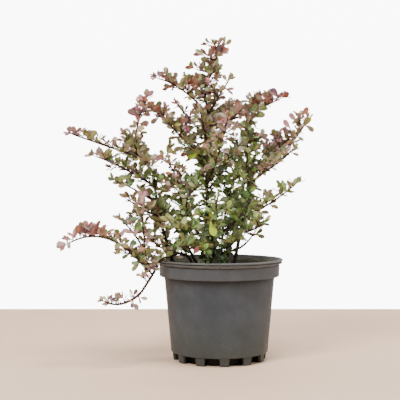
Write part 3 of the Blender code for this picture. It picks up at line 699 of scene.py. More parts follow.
# Sprays, as in the solid model: limb and share, tip, bow, reach of the side twigs, then the
# tints near the limb and the tints towards the tip.
sprays = {
    "spray_low_tip": (("low_arm", 1.0), (-162, -90, 96), (0, 0, -9), 6, "straw straw plum", "plum straw",
        dict(size=0.75, bare=0.7, pitch=1.8, stout=1.3, knob=(0.0022, 0.004))),
    "spray_low_side": (("low_limb", 0.94), (-140, -60, 162), (0, 0, 2), 16, turning, "olive bronze",
        dict(size=0.8, thin=0.5, pitch=1.3)),
    "spray_upright": (("low_upright", 1.0), (-112, -66, 236), (-1, 0, 0), 24, turning, "bronze olive plum rose",
        dict(thin=0.3, pitch=1.3, gaps=((0.7, 0.8),))),
    "spray_upright_side": (("low_upright", 0.8), (-142, -50, 208), (0, 0, 4), 22, "bronze olive",
        "bronze rust olive plum", dict(thin=0.4, pitch=1.5, gaps=((0.3, 0.5),))),
    "spray_reach": (("low_upright", 0.14), (-216, -90, 176), (0, 0, 27), 20, turning, "rose rust rose",
        dict(pitch=1.2, stout=1.2, gaps=((0.4, 0.55), (0.84, 0.95)))),
    "spray_left_top": (("left_fork", 1.0), (-108, -25, 386), (-5, 0, 0), 24, "olive plum bronze",
        "rust plum wineRed bronze", dict(gaps=((0.1, 0.2), (0.36, 0.46)))),
    "spray_left_arm": (("left_fork", 0.86), (-216, -36, 334), (0, 0, 0), 18, "bronze olive",
        "plum rose rose wineRed", dict(pitch=1.2, stout=1.15, gaps=((0.3, 0.85),))),
    "spray_second_arm": (("left_stem", 0.9), (-182, -38, 302), (0, 0, 3), 22, leafy, "bronze olive plum",
        dict(pitch=1.2, stout=1.1)),
    "spray_left_side": (("left_stem", 0.74), (-152, -32, 266), (0, 0, 2), 20, leafy, turning,
        dict(bare=0.7, thin=0.6, pitch=1.8)),
    "spray_left_mid": (("left_stem", 0.6), (-134, -58, 240), (0, -4, -2), 30, turning,
        "bronze olive rust midGreen", dict(size=0.9, thin=0.4, pitch=1.8, gaps=((0.6, 0.75),))),
    "spray_left_low": (("left_stem", 0.5), (-80, 46, 222), (-4, 0, -4), 34, green, leafy),
    "spray_low_left": (("left_stem", 0.26), (-108, -36, 188), (0, 0, -3), 22, leafy, "olive bronze",
        dict(thin=0.4, pitch=1.5)),
    "spray_left_fork": (("left_fork", 0.4), (-132, 40, 326), (-4, 0, -4), 32, leafy, "olive bronze rust",
        dict(thin=0.5, gaps=((0.1, 0.3),))),
    "spray_curl": (("mid_left_stem", 1.0), (-80, -50, 298), (8, 0, 6), 22, turning, "bronze rust plum",
        dict(size=0.75, thin=0.3, pitch=1.2, gaps=((0.75, 0.85),))),
    "spray_mid": (("mid_left_stem", 0.88), (-42, -52, 260), (0, -4, 0), 26, leafy, turning, dict(size=0.85)),
    "spray_low_centre": (("mid_left_stem", 0.42), (-56, -84, 198), (0, -4, 4), 32, green, leafy,
        dict(gaps=((0.15, 0.25),))),
    "spray_centre_left": (("centre_stem", 0.94), (-97, -18, 370), (2, 0, -1), 24, turning,
        "rust bronze olive plum", dict(gaps=((0.25, 0.55),))),
    "spray_centre_back": (("centre_stem", 0.86), (-62, 52, 352), (0, -2, -4), 28, leafy, "bronze rose rust",
        dict(size=0.8, gaps=((0.25, 0.4),))),
    "spray_leader_left": (("centre_leader", 0.4), (-62, 12, 380), (0, 0, -4), 22, turning, "bronze plum rust",
        dict(size=0.8, thin=0.5, pitch=2.2)),
    "spray_leader_front": (("centre_leader", 0.2), (-28, -52, 364), (0, 2, -4), 24, leafy, "plum bronze olive",
        dict(size=0.76)),
    "spray_upper_left": (("centre_leader", 0.96), (-92, -10, 418), (0, 0, 8), 20, turning,
        "wineRed rust plum wineRed", dict(size=0.82, pitch=1.3, gaps=((0.15, 0.25), (0.75, 0.85)))),
    "spray_top": (("centre_leader", 1.0), (7, 5, 468), (-12, 0, -2), 24, "olive midGreen bronze",
        "rust plum wineRed bronze olive", dict(pitch=1.4, gaps=((0.76, 0.8),))),
    "spray_top_right": (("centre_leader", 0.9), (14, -18, 414), (-2, 0, 0), 24, "bronze olive",
        "rose plum bronze olive", dict(size=0.85, pitch=1.9, gaps=((0.1, 0.2), (0.7, 0.85)))),
    "spray_upper_right": (("centre_leader", 0.62), (90, -20, 387), (0, 0, -2), 24, "bronze rust olive",
        "wineRed rust plum rose", dict(pitch=1.2, gaps=((0.48, 0.55), (0.82, 0.88)))),
    "spray_upper_back": (("centre_leader", 0.5), (22, 56, 388), (0, 2, -4), 30, leafy, "rust bronze rose",
        dict(size=0.85)),
    "spray_right_tip": (("right_leader", 1.0), (135, 24, 360), (4, 0, -5), 26, turning,
        "rose bronze olive bronze", dict(pitch=1.3, gaps=((0.3, 0.65),))),
    "spray_right_side": (("right_leader", 0.7), (106, -30, 312), (0, -4, -4), 28, "olive midGreen",
        "rose bronze olive", dict(size=0.85, pitch=1.6, gaps=((0.65, 0.8),))),
    "spray_right_back": (("right_leader", 0.4), (96, 70, 322), (0, 0, -6), 32, green, "bronze rose",
        dict(gaps=((0.35, 0.42),))),
    "spray_right_upright": (("right_stem", 0.96), (48, -16, 364), (-6, -6, 0), 24, leafy,
        "midGreen olive plum bronze limeGreen"),
    "spray_right_low": (("right_stem", 0.62), (112, -30, 262), (0, 0, -4), 20, "limeGreen olive midGreen",
        "limeGreen olive limeGreen bronze", dict(size=0.88, pitch=1.5, gaps=((0.55, 0.65),))),
    "spray_right_stem": (("right_stem", 0.44), (62, -44, 204), (0, -4, -3), 22, "limeGreen olive midGreen",
        "limeGreen olive straw", dict(bare=0.5, thin=0.6)),
    "spray_low_right": (("right_stem", 0.26), (58, 36, 192), (0, 0, -4), 24, leafy, "limeGreen olive",
        dict(bare=0.9, thin=0.8, gaps=((0.5, 0.7),))),
    "spray_centre_right": (("centre_stem", 0.7), (36, 44, 330), (0, 0, -4), 28, green, turning, dict(size=0.8)),
    "spray_inner_right": (("inner_right", 1.0), (24, -30, 282), (0, 2, 0), 28, green, leafy, dict(size=0.8)),
    "spray_low_front_right": (("inner_right", 0.4), (22, -74, 182), (0, 0, -4), 26, leafy, leafy,
        dict(bare=0.4, thin=0.4, gaps=((0.4, 0.55),))),
    "spray_low_front": (("front_stem", 0.5), (-54, -88, 172), (0, 0, 2), 24, green, leafy),
    "spray_front": (("front_stem", 1.0), (-6, -116, 240), (0, 4, -6), 34, green, leafy, dict(size=0.85)),
    "spray_front_right": (("inner_right", 0.66), (42, -104, 240), (0, 0, -6), 34, green, green,
        dict(size=0.85, thin=0.2)),
    "spray_back_left": (("back_left", 1.0), (-64, 112, 286), (0, 10, -4), 38, green, leafy,
        dict(pitch=1.4, gaps=((0.05, 0.15), (0.6, 0.9)))),
    "spray_low_back": (("back_left", 0.45), (-14, 98, 200), (0, 0, -6), 28, green, green, dict(size=0.85)),
    "spray_back_right": (("back_right", 1.0), (50, 120, 294), (0, 10, -4), 38, green, leafy,
        dict(thin=0.3, gaps=((0.45, 0.55),))),
    "spray_back_side": (("back_right", 0.55), (74, 76, 240), (0, 0, -6), 30, green, turning,
        dict(bare=0.4, thin=0.6)),
    "spray_back_upper": (("centre_stem", 0.8), (-5, 100, 384), (0, 4, -8), 32, turning, "rust rose bronze",
        dict(size=0.85)),
    "spray_front_upper": (("centre_stem", 0.74), (10, -96, 354), (0, -4, -8), 30, leafy, "bronze olive rose",
        dict(size=0.72)),
}

# Habit of the shrub: spurs up each stem with rosettes of leaves, spines and fine twigs.
habit = {
    "gap": 0.0003,
    "golden": math.radians(137.5),
    "territory": 0.0022,
    "clear": 0.0006,
    "potClear": 0.002,
    "lowest": 0.060,
    "stemRadius": 0.0010,
    "stemSwell": 0.006,
    "twigRadius": 0.0008,
    "twigTip": 0.00045,
    "fineTip": 0.0003,
    "twigPitch": 0.021,
    "twigLean": (0.85, 0.45, 0.30),
    "finePitch": 0.010,
    "fineLean": (0.8, 0.6, 0.35),
    "fineSpan": (0.28, 0.48),
    "fineBow": -0.04,
    "nodePitch": 0.0053,
    "leafLength": (0.0112, 0.0195),
    "ringTurn": 6.283,
    "leafTries": 3,
    "spread": (0.6, 1.7),
    "tuftSpread": (0.25, 0.95),
    "tuftSize": 0.85,
    "leafHalf": 0.20,
    "twigHalf": 0.0008,
    "leafTop": 0.002,
    "spurSunk": 0.0006,
    "spine": (0.003, 0.006),
    "spineHalf": 0.0003,
    "spineShare": 0.25,
    "rise": 2.0,
    "limbSize": 0.95,
}


class Path:
    # A bowed centre line with a radius at each end.
    def __init__(self, base, tip, bow, r0, r1):
        self.base = base
        self.tip = tip
        self.mid = (base + tip) / 2.0 + bow * 2.0
        self.r0 = r0
        self.r1 = r1

    def point(self, t):
        return self.base * (1.0 - t) ** 2 + self.mid * (2.0 * t * (1.0 - t)) + self.tip * (t * t)

    def tangent(self, t):
        return ((self.mid - self.base) * (1.0 - t) + (self.tip - self.mid) * t).normalized()

    def radius(self, t):
        return self.r0 + (self.r1 - self.r0) * t

    def length(self):
        steps = self.points(9)
        return sum((b - a).length for a, b in zip(steps, steps[1:]))

    def points(self, count):
        return [self.point(k / (count - 1)) for k in range(count)]

    def rings(self, shares):
        # The middle and two cross directions of each ring, without a twist along the path.
        side = self.tangent(0.0).orthogonal().normalized()
        for t in shares:
            along = self.tangent(t)
            side = (side - along * side.dot(along)).normalized()
            yield t, self.point(t), side, along.cross(side)


def springPoint(paths, source, tip, bow, radius):
    # Where a stem leaves its parent's surface, a hair clear of it.
    parent, share = source
    limb = paths[parent]
    if share >= 1.0:
        return limb.tip + limb.tangent(1.0) * habit["gap"]
    base = root = limb.point(share)
    along = limb.tangent(share)
    for _ in range(3):
        start = ((base + tip) / 2.0 + bow * 2.0 - base).normalized()
        out = (start - along * start.dot(along)).normalized()
        lean = math.sqrt(max(0.0, 1.0 - out.dot(start) ** 2))
        base = root + out * (limb.radius(share) + habit["gap"] + radius * lean)
    return base


limbLines = {}
for name, (source, tip, bow, r0, r1, *_) in limbs.items():
    tip, bow = metres(tip), metres(bow)
    if isinstance(source[0], str):
        base = springPoint(limbLines, source, tip, bow, r0)
    else:
        base = Vector((*metres(source), pot["soilZ"] + habit["gap"]))
    limbLines[name] = Path(base, tip, bow, r0, r1)

sprayLines = {}
for name, (source, tip, bow, *_) in sprays.items():
    tip, bow = metres(tip), metres(bow)
    limb = limbLines[source[0]]
    swell = habit["stemSwell"] * (tip - limb.point(source[1])).length
    r0 = min(habit["stemRadius"] + swell, limb.radius(source[1]))
    sprayLines[name] = Path(springPoint(limbLines, source, tip, bow, r0), tip, bow, r0, habit["twigRadius"])

stemLines = {**limbLines, **sprayLines}


def limbGuard(sides=6, count=6):
    # All limbs a little thickened, to keep leaves and twigs off them.
    verts = []
    faces = []
    for path in limbLines.values():
        last = None
        for t, centre, side, other in path.rings([r / (count - 1) for r in range(count)]):
            wide = path.radius(t) + habit["clear"]
            ring = range(len(verts), len(verts) + sides)
            verts += [centre + (side * math.cos(a) + other * math.sin(a)) * wide for a in angles(sides)]
            faces += ringFaces(last, ring) if last else []
            last = ring
    return BVHTree.FromPolygons(verts, faces)


def pointArray(points):
    return np.array([tuple(p) for p in points])


guard = limbGuard()
stemPoints = {}
for name, path in sprayLines.items():
    stemPoints[name] = pointArray(path.points(max(2, math.ceil(path.length() / 0.003)) + 1))
otherPoints = {n: np.concatenate([stemPoints[m] for m in stemPoints if m != n]) for n in stemPoints}


def inOwnSpace(name, probes):
    own, far = (
        np.sqrt(((pointArray(probes)[:, None] - stems[None]) ** 2).sum(-1)).min(1)
        for stems in (stemPoints[name], otherPoints[name])
    )
    return bool((far - own > habit["territory"]).all())


def offThePot(probes):
    reach = pot["lip"] + habit["potClear"]
    for p in probes:
        r = math.hypot(p.x, p.y)
        if p.z < pot["height"] + habit["potClear"] and pot["wallTop"] - 0.006 < r < reach:
            return False
        if p.z < pot["soilZ"] + 0.004 and r < reach:
            return False
    return all(p.z > habit["lowest"] for p in probes)


def offTheLimbs(a, b, wide):
    # A thin triangle from a to b is enough to test a twig or a leaf.
    side = (b - a).orthogonal().normalized() * wide
    return not guard.overlap(BVHTree.FromPolygons([a, b + side, b - side], [(0, 1, 2)]))


def hasRoom(name, twig, count):
    probes = twig.points(count)
    clear = inOwnSpace(name, probes) and offThePot(probes)
    return clear and offTheLimbs(twig.base, twig.tip, habit["twigHalf"])


def around(along, angle):
    return Matrix.Rotation(angle, 3, along) @ along.orthogonal().normalized()


def offShoot(path, t, angle, lean, span, bow, r0, r1):
    # Lean: how much a shoot heads outwards, along its stem and up.
    along = path.tangent(t)
    heading = (around(along, angle) * lean[0] + along * lean[1] + upward * lean[2]).normalized()
    base = path.point(t)
    return Path(base, base + heading * span, upward * (bow * span), r0, r1)


def sideTwigs(rng, path, reach):
    # Short shoots that alternate round the stem, lean forward and turn up.
    count = max(2, round(path.length() / habit["twigPitch"]))
    for k in range(count):
        t = 0.10 + 0.84 * (k + 0.5 * rng.random()) / count
        angle = habit["golden"] * k + rng.uniform(-0.4, 0.4)
        span = reach * (0.55 + 0.45 * math.sin(math.pi * min(1.0, t + 0.15))) * rng.uniform(0.7, 1.05)
        ends = (habit["twigRadius"], habit["twigTip"])
        yield t, offShoot(path, t, angle, habit["twigLean"], span, 0.0, *ends)


def fineTwigs(rng, path):
    # The next finer order: shorter, thinner shoots off a side twig.
    length = path.length()
    pitch = habit["finePitch"]
    twigs = []
    for k in range(int(length / pitch)):
        t = 0.30 + 0.6 * (k + rng.random() * 0.5) * pitch / length
        if t > 0.92:
            break
        angle = rng.uniform(0.0, fullTurn)
        span = length * rng.uniform(*habit["fineSpan"])
        ends = (habit["twigTip"], habit["fineTip"])
        twigs.append(offShoot(path, t, angle, habit["fineLean"], span, habit["fineBow"], *ends))
    return twigs


leaves = {tint: [] for tint in leafTints}
spurs = []
spines = []
twigLines = []


def leafTurn(heading, facing):
    # Points a blade along its heading with its upper side as near to the facing as it can be.
    side = facing.cross(heading).normalized()
    return Matrix((heading, side, heading.cross(side))).transposed().to_euler()


def needleTurn(heading):
    return heading.to_track_quat("Z", "Y").to_euler()


def growRosette(rng, tints, base, along, out, count, scale, upright, knob, spreads=habit["spread"]):
    # A short spur, a ring of leaves of mixed size round its axis, and now and then a spine.
    # A leaf that would touch a limb is tried again closer to the axis.
    axis = (out * 0.75 + along * 0.30 + upward * upright).normalized()
    height = rng.uniform(*knob)
    top = base + axis * height
    if not offThePot((top,)):
        return
    spurs.append((base, needleTurn(axis), height + habit["spurSunk"]))
    start = rng.uniform(0.0, fullTurn)
    low, high = habit["leafLength"]
    for k in range(count):
        ring = around(axis, start + habit["ringTurn"] * k / count + rng.uniform(-0.5, 0.5))
        spread = rng.uniform(*spreads)
        length = (low + (high - low) * rng.random() ** 1.2) * scale
        for _ in range(habit["leafTries"]):
            heading = (axis + ring * spread).normalized()
            end = top + heading * length
            foot = top + heading * habit["leafTop"]
            free = offThePot((end,)) and offTheLimbs(foot, end, length * habit["leafHalf"])
            if free:
                break
            spread *= 0.5
        if not free:
            continue
        turn = rng.uniform(0.0, fullTurn)
        facing = axis * 0.5 + upward * 0.35 + Vector((math.cos(turn), math.sin(turn), 0.0)) * 0.8
        leaf = (top, leafTurn(heading, facing), length)
        leaves[rng.choice(tints.split())].append((*leaf, rng.random(), rng.randrange(4)))
    if rng.random() < habit["spineShare"]:
        heading = (out - axis * 0.3 + along * rng.uniform(-0.3, 0.3)).normalized()
        length = rng.uniform(*habit["spine"])
        end = base + heading * length
        foot = base + heading * habit["leafTop"]
        if offThePot((end,)) and offTheLimbs(foot, end, habit["spineHalf"]):
            spines.append((base, needleTurn(heading), length))


def clothe(rng, path, start, tintsAt, scale, counts, tipLeaves, pitch=1.0, bare=0.0, knob=usual["knob"]):
    # Spurs up one stem, a golden angle apart, and a tuft at its tip.
    steps = max(1, round(path.length() * (1.0 - start) / (habit["nodePitch"] * pitch * scale)))
    angle = rng.uniform(0.0, fullTurn)
    for k in range(steps):
        t = start + (1.0 - start) * (k + rng.uniform(0.1, 0.6)) / steps
        along = path.tangent(t)
        level = 1.0 - abs(along.z)
        angle += habit["golden"]
        out = around(along, angle) + upward * level * habit["rise"]
        out = (out - along * out.dot(along)).normalized()
        base = path.point(t) + out * path.radius(t) * 0.85
        count = 0 if rng.random() < bare else rng.choice(counts)
        growRosette(rng, tintsAt(rng, t), base, along, out, count, scale, 0.35 + 0.4 * level, knob)
    if tipLeaves:
        along = path.tangent(1.0)
        tints = tintsAt(rng, 1.0)
        tip = path.point(0.99)
        size = scale * habit["tuftSize"]
        growRosette(rng, tints, tip, along, along, tipLeaves, size, 0.2, knob, habit["tuftSpread"])


def mixed(inner, outer, low=0.0, high=1.0):
    # The outer tints more often further out, from one share of spurs to another.
    return lambda rng, t: outer if rng.random() < low + (high - low) * t else inner


def clotheLimb(name):
    start, inner, outer, *own = limbs[name][5:]
    own = {**usual, "size": habit["limbSize"], **dict(*own)}
    rng = random.Random("barberry cover " + name)
    places = (own["size"], (3, 4, 5), 0, own["pitch"], own["bare"], own["knob"])
    clothe(rng, limbLines[name], start, mixed(inner, outer), *places)


def growSpray(name):
    path = sprayLines[name]
    reach, inner, outer, *own = sprays[name][3:]
    own = {**usual, **dict(*own)}
    tints = (inner, outer)
    size = own["size"]
    rng = random.Random("barberry " + name)
    fine = random.Random("barberry fine " + name)
    kept = []
    for t, twig in sideTwigs(rng, path, reach / 1000.0):
        if hasRoom(name, twig, 5) and fine.random() >= own["thin"]:
            if not any(low <= t <= high for low, high in own["gaps"]):
                kept.append((t, twig))
    stem = copy.copy(path)
    stem.r0 *= own["stout"]
    stem.r1 *= own["stout"]
    twigLines.append(stem)
    places = (size, (3, 4, 5), 5, own["pitch"], own["bare"], own["knob"])
    clothe(fine, path, 0.04, mixed(*tints, 0.0, 1.1), *places)
    for t, twig in kept:
        twigLines.append(twig)
        clothe(fine, twig, 0.18, mixed(*tints, t * 0.7, min(1.0, t + 0.35)), 0.95 * size, (2, 3, 3), 5)
        for small in fineTwigs(fine, twig):
            if hasRoom(name, small, 4):
                twigLines.append(small)
                clothe(fine, small, 0.4, mixed(*tints, t, min(1.0, t + 0.4)), 0.85 * size, (2, 2, 3), 3)


# Short side shoots that show in outline: stem and share along it, how far each runs, tints.
shoots = [
    ("spray_top", 0.95, (-19, -2, 8), red),
    ("spray_top", 0.8, (-19, 2, 6), red),
    ("spray_top", 0.6, (-22, -4, 5), red),
    ("spray_top", 0.42, (12, -4, 6), pink),
    ("spray_right_tip", 0.35, (-12, -6, 20), blush),
    ("spray_upper_right", 0.55, (4, -2, 18), red),
    ("spray_upper_right", 0.65, (4, 2, 16), red),
    ("spray_upper_right", 0.75, (6, -2, 15), red),
    ("spray_upper_left", 0.35, (-4, -3, 12), pink),
    ("spray_upper_left", 0.55, (-5, 2, 10), red),
    ("spray_upper_left", 0.72, (-6, -3, 10), red),
    ("low_upright", 0.25, (-16, -4, 12), leafy),
    ("spray_right_upright", 0.95, (12, -4, 9), turning),
    ("spray_right_upright", 0.62, (17, -4, 4), "olive plum midGreen"),
    ("spray_right_tip", 0.22, (-14, -6, 14), blush),
    ("spray_right_tip", 0.44, (-12, -4, 12), blush),
    ("low_arm", 0.72, (-6, -3, 6), cream),
    ("spray_low_tip", 0.62, (0, -2, 5), cream),
    ("left_stem", 0.92, (8, -10, 4), turning),
    ("left_stem", 0.8, (14, -6, 6), turning),
    ("left_stem", 0.62, (10, -10, 6), leafy),
    ("spray_curl", 0.98, (6, -4, 14), turning),
    ("low_arm", 0.1, (-3, -4, 4), "olive midGreen plum"),
    ("low_upright", 0.05, (-6, -3, 6), pink),
    ("spray_top", 0.35, (-18, -6, 4), red),
    ("centre_leader", 0.9, (-14, -10, 4), red),
    ("centre_leader", 0.6, (-14, -12, 6), turning),
    ("spray_centre_left", 0.5, (4, -4, 16), red),
    ("spray_centre_left", 0.85, (4, -4, 12), red),
    ("spray_curl", 0.45, (-16, -4, 8), turning),
    ("spray_centre_left", 0.42, (2, -6, -12), turning),
    ("spray_inner_right", 0.25, (-10, -4, 12), green),
    ("spray_inner_right", 0.5, (-12, -6, 6), green),
    ("spray_right_upright", 0.45, (10, -4, 8), leafy),
    ("spray_centre_left", 0.96, (-10, -3, 4), red),
    ("spray_right_tip", 0.3, (-4, -8, 26), blush),
    ("spray_right_tip", 0.52, (-4, -6, 12), blush),
    ("spray_upper_right", 0.5, (4, -6, -10), turning),
    ("spray_reach", 0.58, (-4, -2, 9), red),
    ("spray_reach", 0.74, (-5, -2, 7), red),
]

# Single leaves that stand out: stem and share along it, stalk, blade, tint.
standouts = [
    ("low_arm", 0.57, (-1, -1, 1), (-13, -4, 5), "rose"),
    ("spray_low_front", 0.47, (3, -8, 10), (-8, -4, -14), "rose"),
    ("spray_front", 0.53, (-6, -5, 1), (6, -4, -21), "freshLime"),
    ("spray_centre_left", 0.12, (2, -4, 2), (-18, -4, -9), "freshLime"),
    ("spray_centre_left", 0.25, (-5, -5, -5), (-12, -4, -8), "wineRed"),
    ("left_fork", 0.3, (8, -8, 6), (14, -4, 8), "plum"),
    ("spray_left_side", 0.15, (2, -3, 3), (-13, -4, 12), "rose"),
    ("spray_left_mid", 0.45, (4, -7, 7), (-12, -4, 4), "rose"),
    ("spray_upright", 0.4, (-4, -3, 0), (-6, -4, -13), "rose"),
    ("spray_right_tip", 0.72, (-12, -11, 8), (-12, -4, 13), "rose"),
    ("spray_right_tip", 0.88, (-12, -10, 6), (-12, -4, 12), "rose"),
    ("spray_right_tip", 1.0, (-10, -8, 4), (9, -4, 13), "rust"),
    ("spray_left_top", 0.97, (6, -6, -4), (-10, -4, 9), "rust"),
    ("spray_second_arm", 0.33, (-3, -5, -5), (-18, -4, -2), "olive"),
    ("spray_left_side", 0.7, (2, -3, 3), (-15, -4, -4), "bronze"),
    ("inner_right", 0.97, (9, -7, -2), (10, -4, -9), "rust"),
    ("spray_right_upright", 0.68, (6, -5, -2), (12, -4, 7), "rose"),
]


def growShoot(rng, name, share, span, tints):
    base = stemLines[name].point(share)
    twig = Path(base, base + metres(span), upward * -0.001, habit["twigRadius"], habit["twigTip"])
    twigLines.append(twig)
    clothe(rng, twig, 0.25, lambda rng, t: tints, 0.9, (3, 4), 5)


def growStandout(name, share, stalk, span, tint):
    base = stemLines[name].point(share)
    top = base + metres(stalk)
    heading = metres(span)
    twigLines.append(Path(base, top, Vector(), habit["twigRadius"] * 0.8, habit["twigTip"]))
    turn = leafTurn(heading.normalized(), Vector((0.0, -1.0, 0.35)))
    leaves[tint].append((top, turn, heading.length, 0.5025, 0))


for name in limbs:
    clotheLimb(name)
for name in sprays:
    growSpray(name)
for k, row in enumerate(shoots):
    growShoot(random.Random("barberry shoot %d" % k), *row)
for row in standouts:
    growStandout(*row)
print("grown:", len(twigLines), "twigs,", sum(map(len, leaves.values())), "leaves,", len(spines), "spines")


def pointMesh(rows, columns, edges=()):
    # Points that carry the values a tree reads; the columns follow the point in each row.
    mesh = bpy.data.meshes.new("growSeed")
    mesh.from_pydata([tuple(row[0]) for row in rows], edges, [])
    for index, (label, kind) in enumerate(columns.items(), 1):
        layer = mesh.attributes.new(label, kind, "POINT")
        field = "vector" if kind == "FLOAT_VECTOR" else "value"
        for k, row in enumerate(rows):
            setattr(layer.data[k], field, row[index])
    return mesh


def namedValue(tree, label, kind="FLOAT"):
    return addNode(tree, "GeometryNodeInputNamedAttribute", dict(data_type=kind), Name=label)["Attribute"]


def storeValue(tree, geometry, label, value, domain="POINT"):
    values = dict(Name=label, Geometry=geometry, Value=value)
    return addNode(tree, "GeometryNodeStoreNamedAttribute", dict(data_type="FLOAT", domain=domain), **values)


def placeOnPoints(tree, points, piece, **more):
    # One piece on each point, turned and scaled by what the point carries.
    values = dict(Rotation=namedValue(tree, "turn", "FLOAT_VECTOR"), Scale=namedValue(tree, "size"), **more)
    return addNode(tree, "GeometryNodeInstanceOnPoints", Points=points, Instance=piece, **values)


# Blade of a leaf: narrow stalk, widest past the middle, rounded end, folded a little along its rib.
# Each form: fold, arch and its share of the width.
blade = {
    "along": (0.0, 0.12, 0.34, 0.60, 0.80, 0.93, 1.0),
    "wide": (0.10, 0.18, 0.60, 0.97, 0.95, 0.64, 0.22),
    "rows": 7,
    "width": 0.49,
    "thick": 0.018,
    "sharp": 1.3,
    "forms": ((0.16, 0.04, 1.0), (0.10, -0.14, 0.86), (0.28, -0.06, 1.10), (0.16, -0.22, 0.92)),
}


def bladeNodes(tree, width, thick, fold, arch):
    # One leaf, a unit long: an upper and a lower sheet that meet all round the rim.
    grid = addNode(tree, "GeometryNodeMeshGrid", None, 1.0, 2.0, blade["rows"], 3)
    place = addNode(tree, "ShaderNodeSeparateXYZ", None, addNode(tree, "GeometryNodeInputPosition"))
    along = 1.0 - (0.5 - place["X"]) ** 1.5
    outline = addNode(tree, "ShaderNodeFloatCurve", Value=along)
    points = outline.node.mapping.curves[0].points
    for k, point in enumerate(zip(blade["along"], blade["wide"])):
        if k < len(points):
            points[k].location = point
        else:
            points.new(*point)
    outline.node.mapping.update()
    y = place["Y"] * (outline * (width * 0.5))
    moved = addNode(tree, "ShaderNodeCombineXYZ", None, along, y, abs(y) * fold + along**2.0 * arch)
    sheet = storeValue(tree, grid, "leafAlong", along)
    sheet = storeValue(tree, sheet, "leafAcross", place["Y"])
    upper = addNode(tree, "GeometryNodeSetPosition", Geometry=sheet, Position=moved)
    far = namedValue(tree, "leafAlong")
    rim = 1.0 - abs(namedValue(tree, "leafAcross"))
    depth = rim * sums("MINIMUM", far * (1.0 - far) * 40.0, 1.0) * thick
    drop = addNode(tree, "ShaderNodeCombineXYZ", Z=depth * -1.0)
    lower = addNode(tree, "GeometryNodeSetPosition", Geometry=upper, Offset=drop)
    lower = addNode(tree, "GeometryNodeFlipFaces", Mesh=lower)
    halves = ((upper, 0.0), (lower, 1.0))
    sheets = [storeValue(tree, half, "leafUnder", value, "FACE") for half, value in halves]
    sheets = addNode(tree, "GeometryNodeJoinGeometry", None, sheets)
    whole = addNode(tree, "GeometryNodeMergeByDistance", Geometry=sheets, Distance=0.0005)
    soft = addNode(tree, "GeometryNodeInputMeshEdgeAngle") < blade["sharp"]
    for domain, smooth in (("EDGE", soft), ("FACE", True)):
        shaded = dict(Geometry=whole, Shade_Smooth=smooth)
        whole = addNode(tree, "GeometryNodeSetShadeSmooth", dict(domain=domain), **shaded)
    return whole


def leafTree():
    tree, given, out = growTree("leafSpray", Width=0.56, Thickness=0.018, Blade="Material")
    forms = []
    for fold, arch, share in reversed(blade["forms"]):
        forms.append(bladeNodes(tree, given["Width"] * share, given["Thickness"], fold, arch))
    forms = addNode(tree, "GeometryNodeGeometryToInstance", None, forms)
    choice = dict(Pick_Instance=True, Instance_Index=namedValue(tree, "form", "INT"))
    placed = placeOnPoints(tree, given["Geometry"], forms, **choice)
    return closeTree(tree, out, placed, given["Blade"])


def buildLeaves():
    tree = leafTree()
    columns = {"turn": "FLOAT_VECTOR", "size": "FLOAT", "vary": "FLOAT", "form": "INT"}
    for tint, (*_, slot) in leafTints.items():
        values = dict(Width=blade["width"], Thickness=blade["thick"], Blade=leafMaterial(tint))
        piece = grownMesh(tint + "Leaves", pointMesh(leaves[tint], columns), tree, **values)
        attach(piece, "root")
        triangles = sum(len(p.vertices) - 2 for p in piece.data.polygons)
        print(tint, len(leaves[tint]), "leaves,", triangles, "triangles")


def needleTree():
    tree, given, out = growTree("needleRow", Slimness=0.035, Taper=0.0, Wood="Material")
    slim = given["Slimness"]
    sizes = dict(Vertices=6, Radius_Bottom=slim, Radius_Top=slim * given["Taper"], Depth=1.0)
    needle = addNode(tree, "GeometryNodeMeshCone", dict(fill_type="NGON"), **sizes)
    return closeTree(tree, out, placeOnPoints(tree, given["Geometry"], needle), given["Wood"])


def twigTree():
    tree, given, out = growTree("twigTubes", Sides=6, Wood="Material")
    lines = addNode(tree, "GeometryNodeMeshToCurve", None, given["Geometry"])
    thick = namedValue(tree, "thick")
    lines = addNode(tree, "GeometryNodeSetCurveRadius", Curve=lines, Radius=thick)
    ring = dict(Resolution=given["Sides"], Radius=1.0)
    ring = addNode(tree, "GeometryNodeCurvePrimitiveCircle", dict(mode="RADIUS"), **ring)["Curve"]
    tubes = dict(Curve=lines, Profile_Curve=ring, Fill_Caps=True, Scale=thick)
    tubes = addNode(tree, "GeometryNodeCurveToMesh", **tubes)
    soft = addNode(tree, "GeometryNodeSetShadeSmooth", dict(domain="FACE"), Geometry=tubes)
    return closeTree(tree, out, soft, given["Wood"])


# Wood of the twigs: pitch of the rings, swelling at each node, and how thick each twig's end is.
# Spurs and spines: width for their length, and how much of it is left at the tip.
wood = {
    "pitch": 0.0035,
    "thicker": 1.25,
    "swell": 1.12,
    "end": 0.4,
    "needles": {"spurs": (0.30, 0.66), "spines": (0.035, 0.0)},
}


def buildTwigs(bark):
    # Every twig is a row of points; small swellings mark its nodes.
    rows = []
    edges = []
    for path in twigLines:
        count = max(3, int(path.length() / wood["pitch"]))
        for k in range(count + 1):
            swell = wood["swell"] if k % 2 else 1.0
            thick = path.radius(k / count) * wood["thicker"] * (swell if k < count else wood["end"])
            rows.append((path.point(k / count), thick))
            if k:
                edges.append((len(rows) - 2, len(rows) - 1))
    piece = grownMesh("twigs", pointMesh(rows, {"thick": "FLOAT"}, edges), twigTree(), Sides=6, Wood=bark)
    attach(piece, "root")
    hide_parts(*sprays)


def buildNeedles(bark):
    # The dark knobs that the rosettes stand on, and the spines.
    tree = needleTree()
    for name, rows in (("spurs", spurs), ("spines", spines)):
        slim, taper = wood["needles"][name]
        start = pointMesh(rows, {"turn": "FLOAT_VECTOR", "size": "FLOAT"})
        piece = grownMesh(name, start, tree, Slimness=slim, Taper=taper, Wood=bark)
        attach(piece, "root")


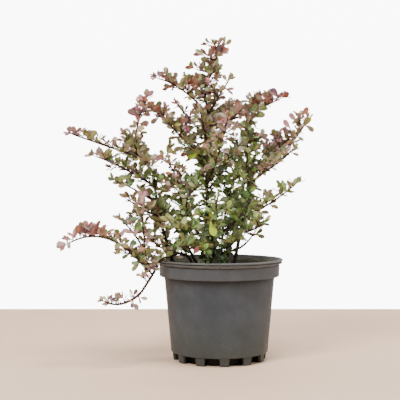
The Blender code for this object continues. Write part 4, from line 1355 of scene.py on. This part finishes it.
# Bark relief: shallow ridges that run along each limb, with knots at its nodes and a flared
# foot where it leaves the compost.
relief = {
    "sides": 18,
    "pitch": 0.0014,
    "ridge": 0.10,
    "rough": 0.12,
    "knotPitch": 0.011,
    "knotWidth": 0.12,
    "knot": 0.22,
    "flare": 0.35,
    "flareHeight": 0.006,
    "stout": {"low_limb": 1.15, "low_arm": 1.3},
}


def barkLimb(work, name, path):
    source = limbs[name][0]
    grounded = not isinstance(source[0], str)
    if grounded:
        start = path.base - path.tangent(0.0) * (path.r0 * 1.2)
    else:
        start = limbLines[source[0]].point(min(source[1], 0.995))
    length = path.length()
    rings = max(4, int(length / relief["pitch"]))
    last = None
    for t, centre, side, other in path.rings([0.0] + [r / rings for r in range(rings + 1)]):
        if last is None:
            centre = start
        far = t * length
        radius = path.radius(t) * relief["stout"].get(name, 1.0)
        if grounded:
            radius *= 1.0 + relief["flare"] * math.exp(-far / relief["flareHeight"])
        knots = far / relief["knotPitch"]
        knot = math.exp(-((knots % 1.0 - 0.5) / relief["knotWidth"]) ** 2)
        turn = math.floor(knots) * habit["golden"]
        ring = []
        for a in angles(relief["sides"]):
            out = side * math.cos(a) + other * math.sin(a)
            ridge = noise.noise(Vector((math.cos(a) * 2.2, math.sin(a) * 2.2, far * 60.0 + path.r0 * 9000.0)))
            rough = noise.noise((centre + out * radius) * 700.0)
            bulge = relief["knot"] * knot * max(0.0, math.cos(a - turn)) ** 3
            wide = radius * (1.0 + relief["ridge"] * ridge * 2.0 + relief["rough"] * rough + bulge)
            ring.append(work.verts.new(centre + out * wide))
        for face in ringFaces(last, ring) if last else [ring[::-1]]:
            work.faces.new(face)
        last = ring
    work.faces.new(last)


def buildLimbs(bark):
    work = bmesh.new()
    for name, path in limbLines.items():
        barkLimb(work, name, path)
    bmesh.ops.recalc_face_normals(work, faces=work.faces)
    piece = addObject("barkLimbs", meshOf(work, "barkLimbs", bark))
    smoothBelow(piece.data, 60.0)
    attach(piece, "root")
    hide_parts(*limbs)


buildLimbs(grainyMaterial("oldBark"))
youngBark = grainyMaterial("youngBark")
buildTwigs(youngBark)
buildNeedles(youngBark)
buildLeaves()
print("shrub dressed")
